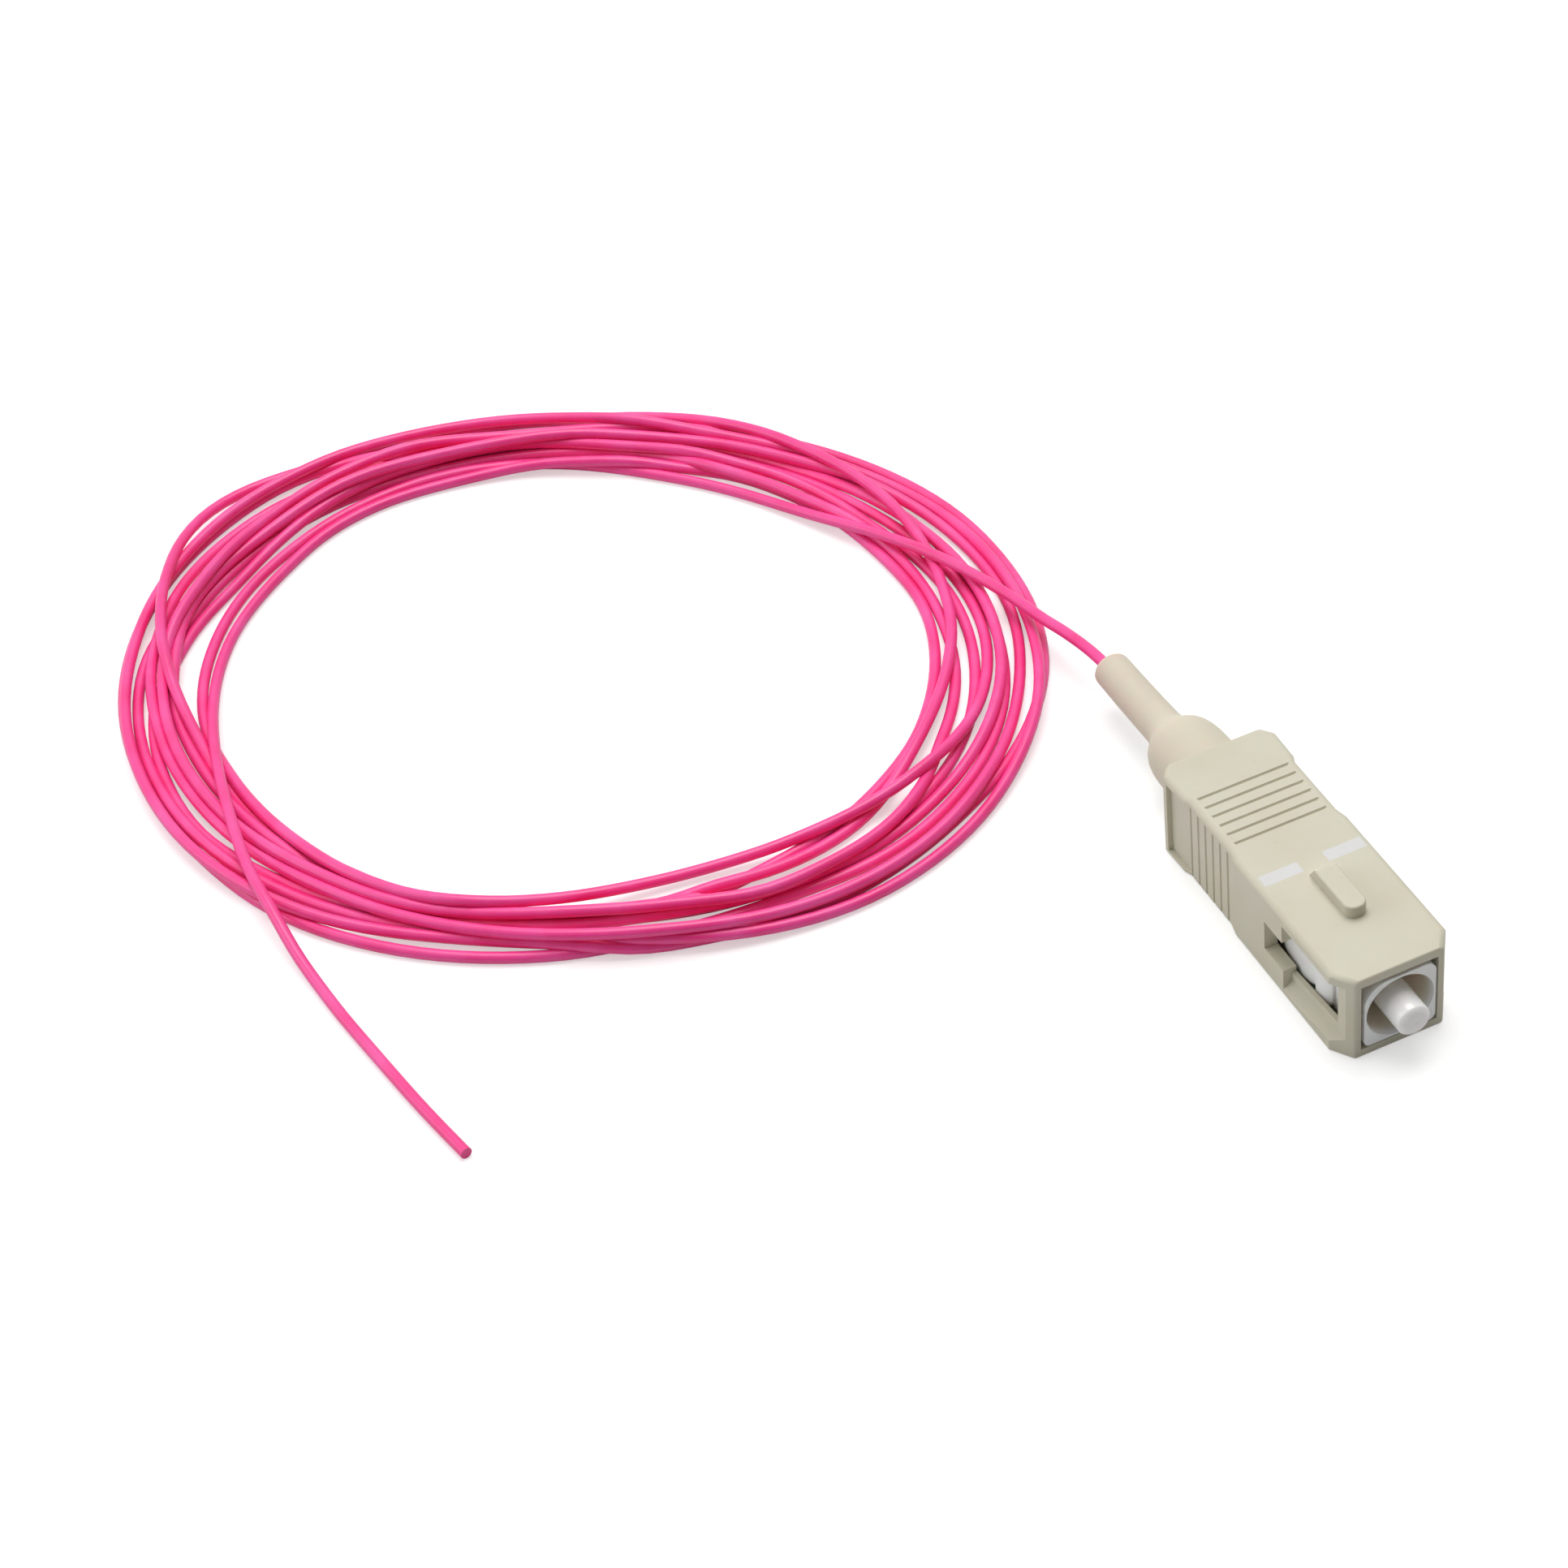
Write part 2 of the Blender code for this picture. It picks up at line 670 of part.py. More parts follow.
def smooth_curve(points, spacing):
    """Evenly spaced points on a smooth curve through the given ones."""
    ends = [points[0], *points, points[-1]]
    places = [Vector(point) for point in ends]
    fine = []
    for i in range(1, len(places) - 2):
        before, start, end, after = places[i - 1 : i + 3]
        for step in range(12):
            t = step / 12
            fine.append(
                0.5
                * (
                    2 * start
                    + (end - before) * t
                    + (2 * before - 5 * start + 4 * end - after) * t**2
                    + (3 * start - before - 3 * end + after) * t**3
                )
            )
    fine.append(places[-1])
    lengths = [(b - a).length for a, b in zip(fine, fine[1:])]
    total = sum(lengths)
    count = max(2, round(total / spacing))
    even = [fine[0]]
    walked = 0.0
    for a, b, length in zip(fine, fine[1:], lengths):
        while len(even) < count and len(even) * total / count <= walked + length:
            even.append(a.lerp(b, (len(even) * total / count - walked) / length))
        walked += length
    even.append(fine[-1])
    return even


def make_fibre_tube(name, points, material):
    curve = bpy.data.curves.new(name, "CURVE")
    curve.dimensions = "3D"
    curve.bevel_depth = FIBRE_RADIUS
    curve.bevel_resolution = 2
    curve.use_fill_caps = True
    places = smooth_curve(points, TUBE_POINT_SPACING)
    spline = curve.splines.new("POLY")
    spline.points.add(len(places) - 1)
    for point, place in zip(spline.points, places):
        point.co = (*place, 1.0)
    tube = bpy.data.objects.new(name, curve)
    bpy.context.scene.collection.objects.link(tube)
    curve.materials.append(material)
    return tube


def main():
    clear_scene()
    housing_plastic = make_material("housing_plastic", (0.66, 0.65, 0.53), 0.5)
    frame_plastic = make_material("frame_plastic", (0.84, 0.84, 0.86), 0.4)
    ceramic = make_material("ceramic", (0.88, 0.88, 0.88), 0.2)
    boot_rubber = make_material("boot_rubber", (0.72, 0.66, 0.54), 0.6)
    rear_plastic = make_material("rear_plastic", (0.80, 0.80, 0.78), 0.5)
    fibre_jacket = make_material("fibre_jacket", (1.0, 0.12, 0.36), 0.4)
    make_housing(housing_plastic)
    make_frame(frame_plastic)
    make_ferrule(ceramic)
    make_rear_body(rear_plastic)
    make_boot(boot_rubber)
    make_coil(fibre_jacket)
    make_fibre_tube("fibre_lead", LEAD_POINTS, fibre_jacket)
    make_fibre_tube("fibre_tail", TAIL_POINTS, fibre_jacket)


main()
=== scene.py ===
# Fibre optic pigtail: the looks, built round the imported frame.
import math

import bmesh
import bpy
import numpy as np
from mathutils import Matrix, Vector


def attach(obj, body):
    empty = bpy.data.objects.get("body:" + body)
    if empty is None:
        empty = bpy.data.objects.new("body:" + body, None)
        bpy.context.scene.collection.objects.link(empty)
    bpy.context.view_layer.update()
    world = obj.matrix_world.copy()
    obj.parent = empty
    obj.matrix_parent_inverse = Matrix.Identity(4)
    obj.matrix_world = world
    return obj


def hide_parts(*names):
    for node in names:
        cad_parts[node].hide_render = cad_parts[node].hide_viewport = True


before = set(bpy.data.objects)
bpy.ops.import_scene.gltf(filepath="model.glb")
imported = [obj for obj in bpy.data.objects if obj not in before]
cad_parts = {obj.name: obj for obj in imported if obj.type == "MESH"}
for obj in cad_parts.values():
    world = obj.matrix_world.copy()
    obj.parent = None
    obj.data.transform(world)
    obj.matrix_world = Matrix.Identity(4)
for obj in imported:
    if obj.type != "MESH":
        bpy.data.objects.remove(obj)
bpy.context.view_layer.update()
bpy.context.scene.view_settings.view_transform = "Standard"
print("stage: frame loaded")

# Places shared by every piece, in metres
connector = {"frontX": 0.01905, "mouthX": -0.02115, "axisZ": 0.0037}
full = 2 * math.pi


def behindFront(distance):
    return connector["frontX"] - distance


# fitted to the photo: angles in degrees, lens and sensor in millimetres
cameraPlace = {
    "location": (0.163393, -0.091532, 0.183507), "elevation": 42.50, "azimuth": -19.26, "roll": -7.78,
    "lens": 83.85, "sensor": 36.0, "nearest": 0.005, "farthest": 5.0,
}


def addCamera(place):
    rise, turn, roll = (math.radians(place[k]) for k in ("elevation", "azimuth", "roll"))
    back = Vector((math.cos(rise) * math.cos(turn), math.cos(rise) * math.sin(turn), math.sin(rise)))
    right = Vector((-math.sin(turn), math.cos(turn), 0.0))
    up = back.cross(right)
    sideways = math.cos(roll) * right + math.sin(roll) * up
    upwards = math.cos(roll) * up - math.sin(roll) * right
    lens = bpy.data.cameras.new("camera")
    lens.lens, lens.sensor_width = place["lens"], place["sensor"]
    lens.clip_start, lens.clip_end = place["nearest"], place["farthest"]
    camera = bpy.data.objects.new("camera", lens)
    bpy.context.scene.collection.objects.link(camera)
    turned = Matrix((sideways, upwards, back)).transposed().to_4x4()
    camera.matrix_world = Matrix.Translation(place["location"]) @ turned
    bpy.context.scene.camera = camera


addCamera(cameraPlace)
print("stage: camera placed")


def deselectAll():
    for other in list(bpy.context.selected_objects):
        other.select_set(False)


def activate(piece):
    deselectAll()
    piece.select_set(True)
    bpy.context.view_layer.objects.active = piece


def addBlock(name, low, high):
    deselectAll()
    middle = [(a + b) / 2 for a, b in zip(low, high)]
    size = [b - a for a, b in zip(low, high)]
    bpy.ops.mesh.primitive_cube_add(size=1.0, location=middle, scale=size)
    piece = bpy.context.object
    piece.name = piece.data.name = name
    bpy.ops.object.transform_apply(location=True, rotation=True, scale=True)
    return piece


def edit(piece):
    activate(piece)
    bpy.ops.object.mode_set(mode="EDIT")


def leave():
    bpy.ops.object.mode_set(mode="OBJECT")


# test gets a vertex, edge or face of the mesh being edited
def choose(piece, kind, test):
    bpy.ops.mesh.select_mode(type=kind)
    bpy.ops.mesh.select_all(action="DESELECT")
    shape = bmesh.from_edit_mesh(piece.data)
    parts = {"VERT": shape.verts, "EDGE": shape.edges, "FACE": shape.faces}[kind]
    for part in parts:
        if test(part):
            part.select_set(True)
    shape.select_flush_mode()
    bmesh.update_edit_mesh(piece.data)


def sliceAt(axis, places):
    normal = [1.0 if i == axis else 0.0 for i in range(3)]
    for place in places:
        bpy.ops.mesh.select_all(action="SELECT")
        bpy.ops.mesh.bisect(plane_co=[place * n for n in normal], plane_no=normal, threshold=1e-6)


def resizeWhere(piece, test, value, centre):
    choose(piece, "VERT", test)
    bpy.ops.transform.resize(value=value, center_override=centre)


def moveWhere(piece, test, value):
    choose(piece, "VERT", test)
    bpy.ops.transform.translate(value=value)


def near(a, b, reach=2e-5):
    return abs(a - b) < reach


def roundEdges(piece, test, radius, segments):
    choose(piece, "EDGE", test)
    bpy.ops.mesh.bevel(offset=radius, offset_type="OFFSET", segments=segments, profile=0.5,
                       affect="EDGES", clamp_overlap=True)


def carve(piece, cutter, operation="DIFFERENCE"):
    activate(piece)
    modifier = piece.modifiers.new("carve", "BOOLEAN")
    modifier.operation, modifier.solver, modifier.object = operation, "EXACT", cutter
    bpy.ops.object.modifier_apply(modifier=modifier.name)
    bpy.data.objects.remove(cutter, do_unlink=True)


# profile is (distance behind the front face, radius); a point is extruded along it and spun
def turnedPiece(name, profile, steps=96):
    deselectAll()
    axisZ = connector["axisZ"]
    start = (behindFront(profile[0][0]), 0.0, axisZ + profile[0][1])
    bpy.ops.mesh.primitive_plane_add(size=0.001, location=start)
    piece = bpy.context.object
    piece.name = piece.data.name = name
    bpy.ops.object.transform_apply(location=True, rotation=True, scale=True)
    bpy.ops.object.mode_set(mode="EDIT")
    bpy.ops.mesh.select_mode(type="VERT")
    bpy.ops.mesh.merge(type="CENTER")
    for (u0, r0), (u1, r1) in zip(profile, profile[1:]):
        bpy.ops.mesh.extrude_region_move(TRANSFORM_OT_translate={"value": (u0 - u1, 0.0, r1 - r0)})
    bpy.ops.mesh.select_all(action="SELECT")
    bpy.ops.mesh.spin(steps=steps, angle=full, center=(0.0, 0.0, axisZ), axis=(1.0, 0.0, 0.0))
    bpy.ops.mesh.select_all(action="SELECT")
    bpy.ops.mesh.remove_doubles(threshold=1e-6)
    bpy.ops.mesh.normals_make_consistent(inside=False)
    leave()
    return piece


# softens the edges sharper than the angle, then shades the piece
def finishPiece(piece, width, segments, angle=32.0, weighted=True):
    activate(piece)
    if width:
        modifier = piece.modifiers.new("soft edges", "BEVEL")
        modifier.width, modifier.segments, modifier.profile = width, segments, 0.5
        modifier.limit_method, modifier.angle_limit = "ANGLE", math.radians(angle)
        modifier.use_clamp_overlap = True
        modifier.miter_outer = "MITER_ARC"
        bpy.ops.object.modifier_apply(modifier=modifier.name)
    bpy.ops.object.shade_smooth_by_angle(angle=math.radians(38.0))
    if weighted:
        modifier = piece.modifiers.new("even shading", "WEIGHTED_NORMAL")
        modifier.keep_sharp = True
        bpy.ops.object.modifier_apply(modifier=modifier.name)


def dress(piece, material, body, slot, *replaced):
    piece.data.materials.clear()
    piece.data.materials.append(material)
    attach(piece, body)
    if replaced:
        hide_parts(*replaced)


# lays nodes in a material's or a group's tree, left to right
class NodeBench:
    def __init__(self, tree):
        self.tree = tree
        self.column = 0

    def add(self, kind, links=None, **settings):
        node = self.tree.nodes.new(kind)
        node.location = (self.column * 190, 0)
        self.column += 1
        for name, value in settings.items():
            setattr(node, name, value)
        for socket, value in (links or {}).items():
            self.feed(node.inputs[socket], value)
        return node

    def feed(self, socket, value):
        if isinstance(value, bpy.types.NodeSocket):
            self.tree.links.new(value, socket)
        else:
            socket.default_value = value

    def maths(self, operation, first, second=None, clamp=False):
        links = {0: first} if second is None else {0: first, 1: second}
        return self.add("ShaderNodeMath", links, operation=operation, use_clamp=clamp).outputs[0]

    def span(self, value, low, high, outLow=0.0, outHigh=1.0, smooth=False):
        kind = "SMOOTHSTEP" if smooth else "LINEAR"
        links = {0: value, 1: low, 2: high, 3: outLow, 4: outHigh}
        return self.add("ShaderNodeMapRange", links, interpolation_type=kind).outputs[0]

    def mixColour(self, share, first, second):
        return self.add("ShaderNodeMix", {0: share, 6: first, 7: second}, data_type="RGBA").outputs[2]


# tone and warmer tone, mixed by the grain's slow drift
def driftedTone(bench, grain, look):
    drift = bench.span(grain.outputs["Drift"], 0.35, 0.68)
    return bench.mixColour(drift, look["tone"], look["toneWarm"])


def startGroup(name, inputs, outputs):
    group = bpy.data.node_groups.new(name, "ShaderNodeTree")
    for label, value in inputs.items():
        kind = "NodeSocketVector" if isinstance(value, tuple) else "NodeSocketFloat"
        socket = group.interface.new_socket(name=label, in_out="INPUT", socket_type=kind)
        socket.default_value = value
    for label in outputs:
        group.interface.new_socket(name=label, in_out="OUTPUT", socket_type="NodeSocketFloat")
    bench = NodeBench(group)
    return group, bench, bench.add("NodeGroupInput").outputs, group.nodes.new("NodeGroupOutput")


# moulded surface: slow colour drift, fine grain and a few specks, all in metres
def makeGrainGroup():
    inputs = {"Grain Scale": 9000.0, "Drift Scale": 180.0, "Speck Scale": 1500.0, "Speck Amount": 0.2}
    group, bench, given, result = startGroup("mouldedGrain", inputs, ["Drift", "Height", "Specks"])
    place = bench.add("ShaderNodeTexCoord").outputs["Object"]
    grain = bench.add("ShaderNodeTexNoise", {"Vector": place, "Scale": given["Grain Scale"],
                                             "Detail": 2.0, "Roughness": 0.6}).outputs[0]
    drift = bench.add("ShaderNodeTexNoise", {"Vector": place, "Scale": given["Drift Scale"],
                                             "Detail": 3.0, "Roughness": 0.5}).outputs[0]
    dust = bench.add("ShaderNodeTexNoise", {"Vector": place, "Scale": given["Speck Scale"],
                                            "Detail": 1.0}).outputs[0]
    wavy = bench.add("ShaderNodeTexNoise", {"Vector": place, "Scale": bench.maths(
        "MULTIPLY", given["Grain Scale"], 0.12), "Detail": 1.0}).outputs[0]
    height = bench.maths("ADD", bench.maths("MULTIPLY", grain, 0.55), bench.maths("MULTIPLY", wavy, 0.45))
    specks = bench.maths("MULTIPLY", bench.span(dust, 0.70, 0.78), given["Speck Amount"])
    bench.feed(result.inputs["Drift"], drift)
    bench.feed(result.inputs["Height"], height)
    bench.feed(result.inputs["Specks"], specks)
    return group


grainGroup = makeGrainGroup()


# a Principled material whose even numbers sit on its own sockets
def startMaterial(name, settings):
    material = bpy.data.materials.new(name)
    material.use_nodes = True
    bench = NodeBench(material.node_tree)
    bench.tree.nodes["Principled BSDF"].location = (2600, 0)
    bench.tree.nodes["Material Output"].location = (2900, 0)
    shader = bench.tree.nodes["Principled BSDF"]
    for label, value in settings["shader"].items():
        shader.inputs[label].default_value = value
    grain = bench.add("ShaderNodeGroup", node_tree=grainGroup)
    for label, value in settings["grain"].items():
        grain.inputs[label].default_value = value
    low, high = settings["gloss"]
    bench.feed(shader.inputs["Roughness"], bench.span(grain.outputs["Drift"], 0.3, 0.7, low, high))
    bump = bench.add("ShaderNodeBump", {"Height": grain.outputs["Height"], "Strength": settings["bump"],
                                        "Distance": settings["bumpDepth"]})
    bench.feed(shader.inputs["Normal"], bump.outputs[0])
    return material, bench, shader, grain


plasticLook = {
    "tone": (0.640, 0.615, 0.500, 1), "toneWarm": (0.610, 0.580, 0.455, 1), "speck": (0.42, 0.39, 0.30, 1),
    "shader": {"Specular IOR Level": 0.35, "Subsurface Weight": 0.06, "Subsurface Scale": 0.0008},
    "grain": {"Grain Scale": 7000.0, "Drift Scale": 160.0, "Speck Amount": 0.12},
    "gloss": (0.42, 0.56), "bump": 0.10, "bumpDepth": 0.00002,
}
markLook = {
    "ink": (0.690, 0.690, 0.690, 1),
    "fromX": behindFront(0.01187), "toX": behindFront(0.01082),
    "inner": 0.00100, "outer": 0.00400, "off": 0.00004, "blur": 0.00003, "topZ": 0.0071,
}


# beige plastic, with the two white bars printed on the top face
def makeHousingPlastic():
    material, bench, shader, grain = startMaterial("housingPlastic", plasticLook)
    body = driftedTone(bench, grain, plasticLook)
    body = bench.mixColour(grain.outputs["Specks"], body, plasticLook["speck"])
    place = bench.add("ShaderNodeTexCoord").outputs["Object"]
    split = bench.add("ShaderNodeSeparateXYZ", {0: place}).outputs
    ragged = bench.add("ShaderNodeTexNoise", {"Vector": place, "Scale": 5200.0, "Detail": 2.0}).outputs[0]
    wander = bench.span(ragged, 0.3, 0.7, -markLook["blur"], markLook["blur"])
    alongX = bench.maths("ADD", split[0], wander)
    shifted = bench.maths("SUBTRACT", split[1], markLook["off"])
    acrossY = bench.maths("ADD", bench.maths("ABSOLUTE", shifted), wander)
    blur = markLook["blur"]
    masks = [
        bench.span(alongX, markLook["fromX"] - blur, markLook["fromX"] + blur),
        bench.span(alongX, markLook["toX"] + blur, markLook["toX"] - blur),
        bench.span(acrossY, markLook["inner"] - blur, markLook["inner"] + blur),
        bench.span(acrossY, markLook["outer"] + blur, markLook["outer"] - blur),
        bench.span(split[2], markLook["topZ"], markLook["topZ"] + blur),
    ]
    mark = masks[0]
    for mask in masks[1:]:
        mark = bench.maths("MULTIPLY", mark, mask)
    thin = bench.span(ragged, 0.30, 0.55, 0.86, 1.0)
    mark = bench.maths("MULTIPLY", mark, thin, clamp=True)
    bench.feed(shader.inputs["Base Color"], bench.mixColour(mark, body, markLook["ink"]))
    return material


frameLook = {
    "tone": (0.91, 0.91, 0.905, 1), "toneWarm": (0.89, 0.885, 0.875, 1), "paintedBoreGlow": (0.88, 0.76, 0.56, 1),
    "shader": {"Specular IOR Level": 0.5, "Subsurface Weight": 0.15, "Subsurface Scale": 0.001},
    "grain": {"Grain Scale": 6000.0, "Drift Scale": 300.0, "Speck Amount": 0.0},
    "gloss": (0.26, 0.38), "bump": 0.06, "bumpDepth": 0.00001,
    # where the painted warm light of the bore starts and is full: distance from the axis, and behind the front
    "glowRadii": (0.00256, 0.00248), "glowDepths": (-0.0001, 0.0009),
}
ceramicLook = {
    "tone": (0.94, 0.935, 0.93, 1), "toneWarm": (0.92, 0.91, 0.905, 1),
    "shader": {"Specular IOR Level": 0.6, "Coat Weight": 0.35, "Coat Roughness": 0.08,
               "Subsurface Weight": 0.15, "Subsurface Scale": 0.0006},
    "grain": {"Grain Scale": 12000.0, "Drift Scale": 500.0, "Speck Amount": 0.0},
    "gloss": (0.12, 0.20), "bump": 0.03, "bumpDepth": 0.000004,
}
bootLook = {
    "tone": (0.665, 0.625, 0.505, 1), "toneWarm": (0.675, 0.600, 0.495, 1),
    "shader": {"Specular IOR Level": 0.28, "Subsurface Weight": 0.25, "Subsurface Scale": 0.0012,
               "Sheen Weight": 0.08, "Sheen Roughness": 0.5},
    "grain": {"Grain Scale": 5200.0, "Drift Scale": 120.0, "Speck Amount": 0.05},
    "gloss": (0.55, 0.68), "bump": 0.10, "bumpDepth": 0.00002,
}
rearLook = {
    "tone": (0.76, 0.76, 0.73, 1), "toneWarm": (0.74, 0.735, 0.70, 1),
    "shader": {"Specular IOR Level": 0.4},
    "grain": {"Grain Scale": 6000.0, "Drift Scale": 200.0, "Speck Amount": 0.1},
    "gloss": (0.40, 0.52), "bump": 0.08, "bumpDepth": 0.00002,
}


def makePlainPlastic(name, look):
    material, bench, shader, grain = startMaterial(name, look)
    tone = driftedTone(bench, grain, look)
    speck = tuple(v * 0.6 for v in look["tone"][:3]) + (1,)
    bench.feed(shader.inputs["Base Color"], bench.mixColour(grain.outputs["Specks"], tone, speck))
    return material


# white plastic, with painted warm light inside the bore, standing in for the light that the beige housing
# passes through and bounces into it
def makeFramePlastic():
    material, bench, shader, grain = startMaterial("framePlastic", frameLook)
    tone = driftedTone(bench, grain, frameLook)
    place = bench.add("ShaderNodeTexCoord").outputs["Object"]
    split = bench.add("ShaderNodeSeparateXYZ", {0: place}).outputs
    rise = bench.maths("SUBTRACT", split[2], connector["axisZ"])
    squares = bench.maths("ADD", bench.maths("MULTIPLY", split[1], split[1]),
                          bench.maths("MULTIPLY", rise, rise))
    inside = bench.span(bench.maths("SQRT", squares), *frameLook["glowRadii"])
    deep = bench.span(split[0], *(behindFront(u) for u in frameLook["glowDepths"]))
    # painted light: the warm glow is mixed into the white where the bore is deep
    bench.feed(shader.inputs["Base Color"], bench.mixColour(bench.maths("MULTIPLY", inside, deep), tone,
                                                            frameLook["paintedBoreGlow"]))
    return material


jacketLook = {
    "tone": (1.0, 0.060, 0.330, 1), "toneDeep": (0.97, 0.040, 0.270, 1), "toneLight": (1.0, 0.095, 0.400, 1),
    "shader": {"Specular IOR Level": 0.5, "Coat Weight": 0.30, "Coat Roughness": 0.30},
    "grain": {"Grain Scale": 4200.0, "Drift Scale": 260.0, "Speck Amount": 0.0},
    "gloss": (0.30, 0.44), "bump": 0.06, "bumpDepth": 0.00001,
}


def makeJacket():
    material, bench, shader, grain = startMaterial("fibreJacket", jacketLook)
    drift = grain.outputs["Drift"]
    tone = bench.mixColour(bench.span(drift, 0.30, 0.52), jacketLook["toneDeep"], jacketLook["tone"])
    tone = bench.mixColour(bench.span(drift, 0.52, 0.75), tone, jacketLook["toneLight"])
    bench.feed(shader.inputs["Base Color"], tone)
    return material


housingPlastic = makeHousingPlastic()
framePlastic = makeFramePlastic()
ceramic = makePlainPlastic("ceramic", ceramicLook)
bootRubber = makePlainPlastic("bootRubber", bootLook)
rearPlastic = makePlainPlastic("rearPlastic", rearLook)
fibreJacket = makeJacket()
print("stage: materials made")

